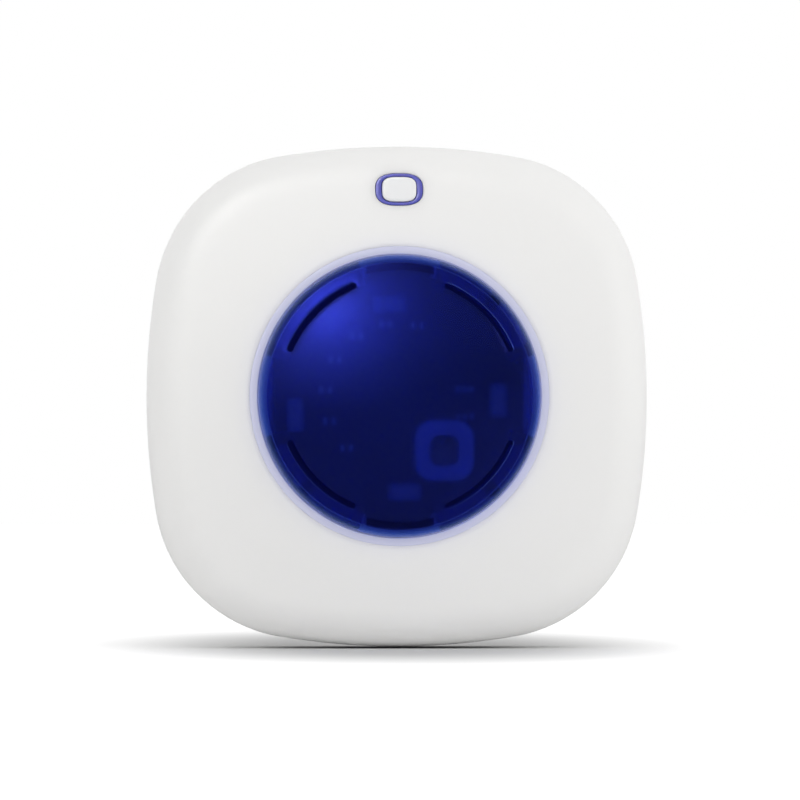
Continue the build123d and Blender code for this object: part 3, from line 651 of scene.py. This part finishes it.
# %% Cover tree, second half
ends = [mixed(row["crown"], i, b + radius * b / arm) for i, b in zip(outline_point(size, rule, row["inset"]), ball)]
angle = around * (2 * math.pi)
plan = [mixed(row["share"], row["reach"] * side, end) for side, end in zip((cos(angle), sin(angle)), ends)]
skin = size["Crown radius"] - row["sink"]
face_up = base + root(skin * skin - plan[0] * plan[0] - plan[1] * plan[1])
plan_up = mixed(row["crown"], row["height"], face_up)
x, z = (mixed(row["round"], flat, curved) for flat, curved in zip(plan, rounds))
where = add(tree, "ShaderNodeCombineXYZ", X=x, Y=-mixed(row["round"], plan_up, round_up), Z=z)
shaped = add(tree, "GeometryNodeSetPosition", Geometry=sheet.outputs["Mesh"], Position=where.outputs[0])
sewn = add(tree, "GeometryNodeMergeByDistance", Geometry=shaped.outputs[0], Distance=0.001 * mm)
close_tree(tree, sewn.outputs[0])
cover_tree = tree
print("cover tree:", len(tree.nodes), "nodes")

# %% Rows of a section
def on_circle(reach, height):
    return {"reach": reach, "height": height}


def on_case(inset, height):
    return {"share": 1, "inset": inset, "height": height}


def on_floor(share, reach, inset, height):
    return {"share": share, "reach": reach, "inset": inset, "height": height}


def on_face(share, reach, sink=0):
    return {"share": share, "reach": reach, "crown": 1, "sink": sink}


def on_round(turn, sink=0):
    return {"round": 1, "turn": turn, "sink": sink}


def steps(start, end, count):
    return [start + (end - start) * i / count for i in range(count + 1)]


def section(name, rows):
    """A chain of rows as a mesh that carries their marks; lengths in millimetres."""
    mesh = bpy.data.meshes.new(name)
    mesh.from_pydata([(i * mm, 0, 0) for i in range(len(rows))], [(i, i + 1) for i in range(len(rows) - 1)], [])
    for mark in row_marks:
        plain = mark in ("share", "crown", "round", "turn")
        values = [row.get(mark, 0) * (1 if plain else mm) for row in rows]
        mesh.attributes.new(mark, "FLOAT", "POINT").data.foreach_set("value", values)
    return mesh


print("row kinds ready")

# %% Mesh helpers
def tidy(mesh, sharp=32):
    """Merges doubles, turns the faces outwards and marks edges sharper than an angle."""
    work = bmesh.new()
    work.from_mesh(mesh)
    bmesh.ops.remove_doubles(work, verts=work.verts, dist=0.0002 * mm)
    bmesh.ops.recalc_face_normals(work, faces=work.faces)
    for face in work.faces:
        face.smooth = True
    for edge in work.edges:
        edge.smooth = len(edge.link_faces) == 2 and edge.calc_face_angle() < math.radians(sharp)
    work.to_mesh(mesh)
    work.free()
    return mesh


def solid(name, work):
    """Ends a mesh under work as a tidy object."""
    mesh = bpy.data.meshes.new(name)
    work.to_mesh(mesh)
    work.free()
    return link(bpy.data.objects.new(name, tidy(mesh)))


def carved(obj, cutters, operation="DIFFERENCE"):
    """Cuts or joins solid cutters, then removes them."""
    for cutter in cutters:
        modifier = obj.modifiers.new("cut", "BOOLEAN")
        modifier.operation = operation
        modifier.solver = "EXACT"
        modifier.object = cutter
    mesh = bpy.data.meshes.new_from_object(obj.evaluated_get(bpy.context.evaluated_depsgraph_get()))
    obj.modifiers.clear()
    obj.data = mesh
    for cutter in cutters:
        bpy.data.objects.remove(cutter)
    return obj


def settle(obj, finish, body, *nodes):
    """Gives a finished piece its finish, the body that it rides on and the pieces it stands for."""
    obj.data.materials.clear()
    obj.data.materials.append(finishes[finish])
    if nodes:
        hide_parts(*nodes)
    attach(obj, body)
    return obj


print("pieces can be joined, cut and settled")

# %% Outlines and simple solids, in millimetres
quarters = ((1, 1), (-1, 1), (-1, -1), (1, -1))
diagonals = (45, 135, 225, 315)


def polar(reach, angle, middle=(0, 0)):
    """The point at a distance and an angle in degrees from a middle."""
    return middle[0] + reach * math.cos(math.radians(angle)), middle[1] + reach * math.sin(math.radians(angle))


def arc(middle, radius, start, end, count):
    return [polar(radius, angle, middle) for angle in steps(start, end, count)]


def spun(name, chain, x=0, z=0, around=48):
    """A turned solid: (radius, height) points, closed on the axis, standing at x, z."""
    work = bmesh.new()
    points = [work.verts.new((radius * mm, -height * mm, 0)) for radius, height in chain]
    edges = [work.edges.new(pair) for pair in zip(points, points[1:])]
    bmesh.ops.spin(work, geom=points + edges, cent=(0, 0, 0), axis=(0, 1, 0), angle=2 * math.pi, steps=around)
    bmesh.ops.translate(work, vec=(x * mm, 0, z * mm), verts=work.verts)
    return solid(name, work)


def pulled(name, outline, low, high):
    """A flat outline of (x, z) points, pulled from one height to another."""
    work = bmesh.new()
    base = work.faces.new([work.verts.new((x * mm, -low * mm, z * mm)) for x, z in outline])
    grown = bmesh.ops.extrude_face_region(work, geom=[base])
    tops = [v for v in grown["geom"] if isinstance(v, bmesh.types.BMVert)]
    bmesh.ops.translate(work, vec=(0, (low - high) * mm, 0), verts=tops)
    return solid(name, work)


def pillow(name, size, corner, low, high, z=0, around=10):
    """A block with rounded corners, as a cutter or as a piece."""
    ring = []
    for (sx, sz), start in zip(quarters, (0, 90, 180, 270)):
        middle = (sx * (size[0] / 2 - corner), z + sz * (size[1] / 2 - corner))
        ring += arc(middle, corner, start, start + 90, around)
    return pulled(name, ring, low, high)


def set_of_four(make, place):
    return [make(x * place, z * place) for x, z in quarters]


def moved(obj, matrix):
    obj.data.transform(matrix)
    return obj


def swung(obj, angle):
    """Turns a piece's mesh round the dome's axis."""
    return moved(obj, Matrix.Rotation(math.radians(angle), 4, "Y"))


print("simple solids ready")

# %% [markdown]
# ## The front cover
# The front cover is one moulding: the crowned face with its round edge, the
# side down to the parting line, and the well that holds the lamp board. Its
# section starts at the opening in the face, goes out over the face, down the
# side, back up inside the wall, and down and round the well to where it
# started. A mould leaves no knife edges, so each edge that shows has a tiny
# round. The tops of the screw posts are tapered to stay under the round face.

# %% Front cover
soft, low_edge, wall = 0.15, 14.3, 2.2
opening, well_in, well_out, bore = 27.75, 28.95, 30.55, 21.0
tongue, tongue_top, well_low, well_high = 1.2, 16.1, 21.8, 23.6
rows = [on_face(0, opening, 0.05), on_face(0, opening + soft)]
rows += [on_face(share, opening + soft) for share in steps(0, 1, 18)[1:]]
rows += [on_round(turn) for turn in steps(1, 0, 14)[1:]]
rows += [on_case(0, low_edge + soft), on_case(0.3 * soft, low_edge + 0.3 * soft), on_case(soft, low_edge)]
rows += [on_case(tongue, low_edge), on_case(tongue, tongue_top), on_case(wall, tongue_top)]
rows += [on_round(turn, wall) for turn in steps(0, 1, 6)]
rows += [on_face(share, well_out, wall) for share in steps(1, 0, 8)[1:]]
rows += [on_circle(*p) for p in ((well_out, well_low), (bore, well_low), (bore, well_high), (well_in, well_high))]
rows += [on_face(0, well_in, wall), on_face(0, opening, wall), rows[0]]
front_skin = formed("front_skin", section("front_section", rows), cover_tree)
print("front cover:", len(front_skin.data.polygons), "faces")

# %% Posts, windows and the opening for the button
def bowed(size, power, z=0, count=96):
    """A rounded oblong whose sides bow out a little: (x, z) points round it."""
    turns = [2 * math.pi * i / count for i in range(count)]
    bend = 2 / power
    return [(math.copysign(size[0] / 2 * abs(math.cos(t)) ** bend, math.cos(t)),
             z + math.copysign(size[1] / 2 * abs(math.sin(t)) ** bend, math.sin(t))) for t in turns]


post_place, post_foot, button_height = 32.0, 10.9, 38.27
post_chain = [(0, 26.3), (2.2, 26.3), (3.6, 25.4), (3.6, post_foot + 0.1), (3.5, post_foot), (1.55, post_foot)]
post_chain += [(1.45, post_foot + 0.1), (1.45, 18.6), (0, 18.6)]
carved(front_skin, set_of_four(lambda x, z: spun("post", post_chain, x, z, 44), post_place), "UNION")
window_low, window_high = 20.8, 24.6
cutters = [pulled("button_hole", bowed((8.94, 6.09), 2.7, button_height), window_low, 35)]
cutters += [swung(pillow("hook_window", (2.6, 2.4), 0.2, window_low, window_high, z=24.4), angle)
            for angle in diagonals]
cutters.append(pillow("link_window", (11.0, 24.0), 0.2, window_low, window_high, z=-12.0))
carved(front_skin, cutters)
tidy(front_skin.data)
settle(front_skin, "white_case", "case", "front_cover")
print("front cover after the button hole:", len(front_skin.data.polygons), "faces")

# %% [markdown]
# ## The rear cover
# The rear cover is the tray behind the parting line, with the round plug boss
# on its back. Its section starts at the rim, goes down the side, round the
# back, out along the boss and over its end to the axis, and returns inside.
# The two notches of the boss, the pin holes, the four screw wells and the
# recess of the blank plate are then cut as their tools would cut them.

# %% Rear cover
rim, lip, lip_top, back_round = 14.0, 1.3, 15.8, 4
boss_radius, boss_end, boss_round, floor, cavity = 18.75, -17.5, 1.5, -14.5, 15.75
corner = (back_round, back_round)
rows = [on_case(0, rim - soft), *(on_case(*p) for p in arc(corner, back_round, 180, 270, 10))]
rows += [on_floor(share, boss_radius + 0.3, back_round, 0) for share in steps(1, 0, 10)[1:]]
rows += [on_circle(boss_radius + 0.09, -0.09), on_circle(boss_radius, -0.3)]
rows += [on_circle(boss_radius, height) for height in (-5, -11, -16)]
rows += [on_circle(*p) for p in arc((boss_radius - boss_round, boss_end + boss_round), boss_round, 0, -90, 8)[1:]]
rows += [on_circle(reach, boss_end) for reach in (14, 9, 4, 0)]
rows += [on_circle(0, floor), on_circle(cavity, floor), on_circle(cavity, wall)]
rows += [on_floor(share, cavity, back_round, wall) for share in steps(0, 1, 6)[1:]]
rows += [on_case(*p) for p in arc(corner, back_round - wall, 270, 180, 5)[1:]]
rows += [on_case(wall, lip_top), on_case(lip, lip_top), on_case(lip, rim), on_case(soft, rim)]
rows += [on_case(0.3 * soft, rim - 0.3 * soft), on_case(0, rim - soft)]
rear_skin = formed("rear_skin", section("rear_section", rows), cover_tree)
print("rear cover:", len(rear_skin.data.polygons), "faces")

# %% Holes and notches
pin_place, well_radius = 9.5, 4.2
well = [(0, 1.2), (well_radius, 1.2), (well_radius, 10.8), (0, 10.8)]
carved(rear_skin, set_of_four(lambda x, z: spun("well", well, x, z, 44), post_place), "UNION")
head_bore = [(0, -1), (3.4, -1), (3.4, 0.0), (3.2, 0.2), (3.2, 8.8), (1.7, 8.8), (1.7, 12), (0, 12)]
pin_bore = [(0, -19), (3.1, -19), (3.1, -17.5), (2.95, -17.35), (2.95, -14), (0, -14)]
cutters = set_of_four(lambda x, z: spun("bore", head_bore, x, z), post_place)
cutters += [spun("pin_bore", pin_bore, side * pin_place, around=50) for side in (1, -1)]
cutters += [pillow("notch", (7.0, 3.8), 0.4, -18.5, -0.02, z=side * 18.85) for side in (1, -1)]
cutters += [pillow("plate_bed", (36.0, 12.0), 2.0, -1, 0.5, z=-31.0)]
carved(rear_skin, cutters)
tidy(rear_skin.data)
settle(rear_skin, "white_case", "case", "rear_cover")
print("rear cover with its holes:", len(rear_skin.data.polygons), "faces")

# %% [markdown]
# ## The milky ring
# The ring round the dome is a light guide of milky plastic: a flat band, a step
# that the front cover traps, and a small round at its outer edge. It is turned,
# so its section is spun round the axis. The edge next to the dome gets a round
# too, a little smaller, so that the two pieces meet in a fine line.

# %% The ring
ring_inner, ring_outer, ring_foot, ring_top, ring_low, step_top = 26.3, 27.74, 28.85, 29.91, 23.6, 27.95
outer_soft, inner_soft = 0.12, 0.15
chain = [(ring_inner, ring_low), (ring_foot, ring_low), (ring_foot, step_top), (ring_outer, step_top)]
chain += [(ring_outer, height) for height in (28.6, 29.2)]
chain += arc((ring_outer - outer_soft, ring_top - outer_soft), outer_soft, 0, 90, 4)
chain += arc((ring_inner + inner_soft, ring_top - inner_soft), inner_soft, 90, 180, 4)
chain += [(ring_inner, height) for height in (28.6, 26.0, ring_low)]
ring_skin = settle(spun("ring_skin", chain, around=160), "milky_ring", "case", "light_ring")
print("ring:", len(ring_skin.data.polygons), "faces")

# %% [markdown]
# ## The dome
# The dome is one clear blue moulding: a shallow crown with a rounded shoulder,
# four skirts that press on the lamp board, a snap hook under each skirt, and a
# curved sound slot over each skirt. The shell is turned. The skirts, hooks and
# slots are flat outlines pulled to a height, joined to it or cut from it. The
# slots' rims get a small bevel, as a mould leaves, and it catches the light.

# %% The dome's shell
dome_side, dome_wall, shoulder, crown_ball, crown_top, dome_foot = 26.12, 1.7, 2.4, 60.0, 38.5, 23.6
inner_round, foot_round, straight_top = 0.08, 0.1, 27.0


def shoulder_of(ball, side, radius):
    """The round between a crown and a side: its middle, and the angle at which it leaves the crown."""
    reach, rise = side - radius, math.sqrt((ball - radius) ** 2 - (side - radius) ** 2)
    return (reach, crown_top - crown_ball + rise), math.degrees(math.atan2(rise, reach))


def crown(ball, leave, count=22):
    return [polar(ball, 90 - (90 - leave) * share, (0, crown_top - crown_ball)) for share in steps(0, 1, count)]


def side_line(side, inwards):
    """The straight part of a side and the small round at its foot."""
    return [(side, straight_top), (side, dome_foot + foot_round), (side - inwards * foot_round, dome_foot)]


outer_turn, outer_leave = shoulder_of(crown_ball, dome_side, shoulder)
inner_turn, inner_leave = shoulder_of(crown_ball - dome_wall, dome_side - dome_wall, inner_round)
shell = crown(crown_ball, outer_leave)[:-1] + arc(outer_turn, shoulder, outer_leave, 0, 12)
shell += side_line(dome_side, 1) + side_line(dome_side - dome_wall, -1)[::-1]
shell += arc(inner_turn, inner_round, 0, inner_leave, 8) + crown(crown_ball - dome_wall, inner_leave)[::-1][1:]
dome_skin = spun("dome_skin", shell, around=160)
print("dome shell:", len(dome_skin.data.polygons), "faces")

# %% Skirts, hooks and slots
def skirt(angle, half=28.0, inner=21.3, outer=25.2):
    edge = arc((0, 0), outer, angle - half, angle + half, 28) + arc((0, 0), inner, angle + half, angle - half, 28)
    return pulled("skirt", edge, 24.9, 30.5)


def slot(angle, half=21.7, middle=22.1, width=1.25):
    edge = arc((0, 0), middle + width / 2, angle - half, angle + half, 40)
    edge += arc(polar(middle, angle + half), width / 2, angle + half, angle + half + 180, 8)[1:-1]
    edge += arc((0, 0), middle - width / 2, angle + half, angle - half, 40)
    edge += arc(polar(middle, angle - half), width / 2, angle - half + 180, angle - half + 360, 8)[1:-1]
    return pulled("slot", edge, 30.7, 40.0)


joined = [skirt(angle) for angle in diagonals]
joined += [swung(pillow("hook", (2.0, 1.2), 0.1, 20.7, 25.5, z=23.9), angle) for angle in diagonals]
joined += [swung(pillow("barb", (2.0, 1.7), 0.1, 20.6, 21.2, z=24.15), angle) for angle in diagonals]
carved(dome_skin, joined, "UNION")
carved(dome_skin, [slot(angle) for angle in diagonals])
print("dome with skirts and slots:", len(dome_skin.data.polygons), "faces")

# %% Soft rims of the slots
tidy(dome_skin.data)
work = bmesh.new()
work.from_mesh(dome_skin.data)


def on_rim(edge):
    sharp = len(edge.link_faces) == 2 and edge.calc_face_angle() > math.radians(60)
    reach = [math.hypot(v.co.x, v.co.z) / mm for v in edge.verts]
    return sharp and all(-v.co.y > 33.6 * mm for v in edge.verts) and 21.3 < min(reach) and max(reach) < 22.9


rims = [edge for edge in work.edges if on_rim(edge)]
bmesh.ops.bevel(work, geom=rims, offset=0.08 * mm, segments=2, affect="EDGES", profile=0.5)
work.to_mesh(dome_skin.data)
work.free()
tidy(dome_skin.data)
settle(dome_skin, "dome_blue", "case", "dome_lens")
print("rim edges softened:", len(rims), "faces:", len(dome_skin.data.polygons))

# %% [markdown]
# ## The button and its surround
# The button is a white cap in a blue light guide. Both have the same bowed
# outline, and the guide's top swells a little between its edges and follows the
# crown of the face. Each is built as a stack of closed rows of points: the rows
# go round the section, and faces join each row to the next. The cap's stem and
# the flanges that keep both pieces in the case are rows of the same stack.

# %% Rows joined to a solid
def on_crown(x, z):
    """The height of the case's crowned face, in millimetres."""
    height, ball = (case_sizes[label] / mm for label in ("Crown height", "Crown radius"))
    return height - ball + math.sqrt(ball ** 2 - x ** 2 - z ** 2)


def stacked(name, rows, ring=False):
    """Joins rows of (x, height, z); a ring closes on itself, and another solid gets end faces."""
    work = bmesh.new()
    rows = [[work.verts.new((x * mm, -height * mm, z * mm)) for x, height, z in row] for row in rows]
    pairs = list(zip(rows, rows[1:] + rows[:1]))
    for low, high in pairs if ring else pairs[:-1]:
        for i in range(len(low)):
            work.faces.new((low[i - 1], low[i], high[i], high[i - 1]))
    for end in () if ring else (rows[0], rows[-1]):
        work.faces.new(end)
    return solid(name, work)


def level(outline, height):
    return [(x, height, z) for x, z in outline]


print("rows can be stacked")

# %% Blue surround
outside, inside = bowed((8.8, 5.95), 2.7, button_height), bowed((6.5, 4.75), 3.4, button_height)
flange, flange_low, flange_top = bowed((10.4, 7.55), 2.7, button_height), 21.9, 22.9
edge_drop, edge_lift, swell = -0.12, -0.02, 0.3


def across(share, lift):
    row = [(a + (c - a) * share, b + (d - b) * share) for (a, b), (c, d) in zip(inside, outside)]
    return [(x, on_crown(x, z) + lift, z) for x, z in row]


rows = [level(inside, flange_low), across(0, edge_drop), across(0.04, edge_lift)]
rows += [across(share, swell * share * (1 - share) - edge_lift) for share in steps(0.1, 0.9, 8)]
rows += [across(0.96, edge_lift), across(1, edge_drop)]
rows += [level(outside, flange_top), level(flange, flange_top), level(flange, flange_low)]
settle(stacked("button_surround", rows, ring=True), "button_blue", "case", "button_ring")
print("surround:", len(rows), "rows")

# %% White cap
def cap_outline(inset):
    return bowed((6.3 - 2 * inset, 4.55 - 2 * inset), 3.4, button_height)


cap_top, cap_round, cap_flange, stem_foot, stem_top, shoulder_top = 29.45, 0.4, -0.6, 18.8, 20.8, 21.8
stem = arc((0, button_height), 1.4, 0, 360, 96)[:-1]
rows = [level(stem, stem_foot), level(stem, stem_top)]
rows += [level(cap_outline(cap_flange), stem_top), level(cap_outline(cap_flange), shoulder_top)]
rows += [level(cap_outline(0), shoulder_top)]
rows += [level(cap_outline(cap_round - reach), height)
         for reach, height in arc((0, cap_top - cap_round), cap_round, 0, 90, 6)]
rows += [level(cap_outline(inset), cap_top) for inset in (0.9, 1.6, 2.1)]
settle(stacked("button_top", rows), "button_white", "button", "button_cap")
print("cap:", len(rows), "rows")

# %% [markdown]
# ## What repeats
# Screws, diodes and small chips are bought by the hundred and placed by a list.
# So one of each kind is modelled with care, and one small tree sets it out: it
# puts the piece on every point of a start mesh and turns it by the angle that
# the point carries. The points are the places on the drawing.

# %% The setting-out tree
set_out_tree, given = form_tree("set_out", {"Piece": "Object"})
one = add(set_out_tree, "GeometryNodeObjectInfo", Object=given["Piece"])
turn = add(set_out_tree, "GeometryNodeInputNamedAttribute", {"data_type": "FLOAT"}, Name="turn")
about = add(set_out_tree, "ShaderNodeCombineXYZ", Y=turn.outputs["Attribute"])
placed = add(set_out_tree, "GeometryNodeInstanceOnPoints", Points=given["Geometry"],
             Instance=one.outputs["Geometry"], Rotation=about.outputs[0])
close_tree(set_out_tree, placed.outputs[0])


def set_out(name, piece, places, finish, *nodes):
    """Sets a piece out at (x, z, turn in degrees), settles the set and removes the piece that was copied."""
    start = bpy.data.meshes.new(name + "_places")
    start.from_pydata([(x * mm, 0, z * mm) for x, z, _ in places], [], [])
    turn = start.attributes.new("turn", "FLOAT", "POINT")
    turn.data.foreach_set("value", [math.radians(-angle) for _, _, angle in places])
    made = formed(name, start, set_out_tree, Piece=piece)
    bpy.data.objects.remove(piece)
    return settle(made, finish, "case", *nodes)


print("setting-out tree:", len(set_out_tree.nodes), "nodes")

# %% [markdown]
# ## Screws
# All the screws are self-tapping screws with a low round head and a cross
# recess. The head and the shank are spun. Then each point of the shank is drawn
# in or out by how far it is from the thread's crest, which climbs one pitch a
# turn, so the thread is a true spiral and the mesh stays closed.

# %% One screw
def screw(name, head, shank, facing, pitch=1.0, cut=0.22):
    """Head and shank are (radius, height); facing 1 points to greater heights."""
    (wide, thick), (narrow, long) = head, shank
    chain = [(0, 0), (0.35 * wide, 0.01), (0.7 * wide, 0.08), (0.88 * wide, 0.22), (0.97 * wide, 0.5), (wide, 0.85)]
    chain += [(wide, thick - 0.15), (wide - 0.15, thick), (narrow, thick)]
    chain += [(narrow, thick + share * (long - narrow)) for share in steps(0.02, 1, int(long / pitch * 6))]
    chain += [(0.6 * narrow, thick + long - 0.4 * narrow), (0, thick + long)]
    made = spun(name, [(reach, facing * height) for reach, height in chain], around=28)
    for point in made.data.vertices:
        height = facing * -point.co.y / mm - thick
        if height > 0.05:
            climb = height / pitch - facing * math.atan2(point.co.z, point.co.x) / (2 * math.pi)
            sides = 1 - cut / narrow * min(1.0, height) * abs(2 * (climb % 1) - 1)
            point.co.x, point.co.z = point.co.x * sides, point.co.z * sides
    slots = []
    for size in ((1.2 * wide, 0.7), (0.7, 1.2 * wide)):
        low, high = sorted((-facing * 1.0, facing * 0.55 * thick))
        slots.append(pillow("recess", size, 0.12, low, high, around=3))
    return carved(made, slots)


print("a screw can be made")

# %% The screws
def lifted(obj, height):
    """Moves a piece's mesh to a height in front of the wall."""
    return moved(obj, Matrix.Translation((0, -height * mm, 0)))


def corners(place, turns):
    return [(x * place, z * place, turn) for (x, z), turn in zip(quarters, turns)]


kinds = (("case_screw", (2.9, 2.2), (1.4, 11.0), 1, 1.25, 6.6, corners(post_place, (12, 55, 80, 31))),
         ("board_screw", (2.4, 1.6), (1.1, 7.5), -1, 1.0, 15.2, corners(24.0, (40, 8, 63, 77))),
         ("retainer_screw", (2.4, 1.6), (1.1, 4.9), -1, 1.0, -9.0, [(0, 10.5, 20), (0, -10.5, 67)]))
for name, head, shank, facing, pitch, height, places in kinds:
    one = lifted(screw(name, head, shank, facing, pitch), height)
    set_of_them = set_out(name + "_set", one, places, "screw_steel", name + "s")
    print(set_of_them.name, len(set_of_them.data.polygons), "faces")

# %% [markdown]
# ## The strobe diodes
# The four diodes that flash are flat white cups, each filled with a pale
# yellow compound and standing on two tin-plated feet. The cup is a rounded
# block with a tapered bed carved out of it. Cup, filling and feet are set out
# at the same four places, so each finish is one piece.

# %% Diodes
def tapered(name, low_size, high_size, corner, low, high):
    """A rounded block whose sides lean from one size to another."""
    made = pillow(name, high_size, corner, low, high, around=5)
    for point in made.data.vertices:
        if -point.co.y / mm < (low + high) / 2:
            point.co.x *= low_size[0] / high_size[0]
            point.co.z *= low_size[1] / high_size[1]
    return made


board_front, board_radius = 24.8, 22.5
led_places = [(*polar(board_radius - inset, angle), turn) for angle, inset, turn in
              ((95.4, 5.4, 0), (357.5, 4.1, 90), (273.6, 4.8, 0), (190.4, 3.2, 90))]
cup = pillow("cup", (5.6, 3.0), 0.2, board_front + 0.08, board_front + 0.9, around=4)
carved(cup, [tapered("bed", (3.9, 1.7), (4.5, 2.3), 0.5, board_front + 0.35, board_front + 1.0)])
filling = tapered("filling", (3.85, 1.65), (4.35, 2.15), 0.5, board_front + 0.3, board_front + 0.8)
foot = pillow("foot", (5.9, 2.2), 0.1, board_front, board_front + 0.12, around=3)
led_cups = set_out("led_cups", cup, led_places, "led_body", "strobe_leds")
set_out("led_fillings", filling, led_places, "led_lens", "led_lenses")
set_out("led_feet", foot, led_places, "tin_can")
print("diodes:", len(led_cups.data.polygons), "faces in the cups")

# %% [markdown]
# ## Resistors and capacitors
# The small parts on both boards are ceramic blocks with a tin cap on each end.
# The caps wrap round the block, so they stand a hair proud of it. All of them
# lie the same way on the board.

# %% Small parts
def small_part(height):
    """The block and the two caps of a small part that stands at a height."""
    block = pillow("block", (1.7, 1.15), 0.08, height + 0.04, height + 0.55, around=3)
    caps = [moved(pillow("cap", (0.42, 1.25), 0.1, height, height + 0.6, around=4),
                  Matrix.Translation((side * 0.79 * mm, 0, 0))) for side in (-1, 1)]
    return block, carved(caps[0], caps[1:], "UNION")


main_front = 13.6
lamp_places = [(*polar(board_radius - 9.0, angle), 0) for angle in range(75, 226, 25)]
main_places = [(x, 30.0, 0) for x in (-8.0, 10.0, 13.0, 16.0)] + [(x, -30.0, 0) for x in (-4.0, -1.0, 16.0, 19.0)]
for name, height, places in (("lamp", board_front, lamp_places), ("main", main_front, main_places)):
    block, caps = small_part(height)
    set_out(name + "_part_blocks", block, places, "chip_black", name + "_chips")
    set_out(name + "_part_caps", caps, places, "tin_can")
print("small parts:", len(lamp_places) + len(main_places))

# %% [markdown]
# ## Chips with legs
# The processor and the driver of the diodes are black blocks on bent tin legs.
# One leg is a strip with two bends, made by joining copies of its section along
# a bent line, and the same tree sets the legs out along the sides.

# %% Legs
leg_rise = 0.6


def leg(height, width):
    """A leg that leaves a chip along +X at half its height and stands on the board."""
    line = [(-0.1, leg_rise), (0.25, leg_rise), (0.42, leg_rise - 0.1)]
    line += [(0.5, 0.3 * leg_rise), (0.62, 0.1), (1.0, 0.1)]
    section = ((0.05, 1), (0.05, -1), (-0.05, -1), (-0.05, 1))
    return stacked("leg", [[(x, height + up + thick, side * width / 2) for thick, side in section] for x, up in line])


def legs_round(node, size, height, pitch, count, sides, width):
    """Legs along the sides of a chip; a side is the direction that it faces, in degrees."""
    low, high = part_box(node)
    middle = ((low[0] + high[0]) / 2 / mm, (low[2] + high[2]) / 2 / mm)
    places = []
    for side in sides:
        reach = (size[0] if side % 180 == 0 else size[1]) / 2
        for i in range(count):
            along = (i - (count - 1) / 2) * pitch
            places.append((*polar(along, side + 90, polar(reach, side, middle)), side))
    print(node, "at", [round(v, 2) for v in middle], "with", len(places), "legs")
    return set_out(node.replace("led_", "") + "_legs", leg(height, width), places, "tin_can")


legs_round("led_driver", (5.0, 4.0), board_front, 1.27, 3, (90, 270), 0.42)
legs_round("processor", (9.0, 9.0), main_front, 0.65, 11, (0, 90, 180, 270), 0.28)
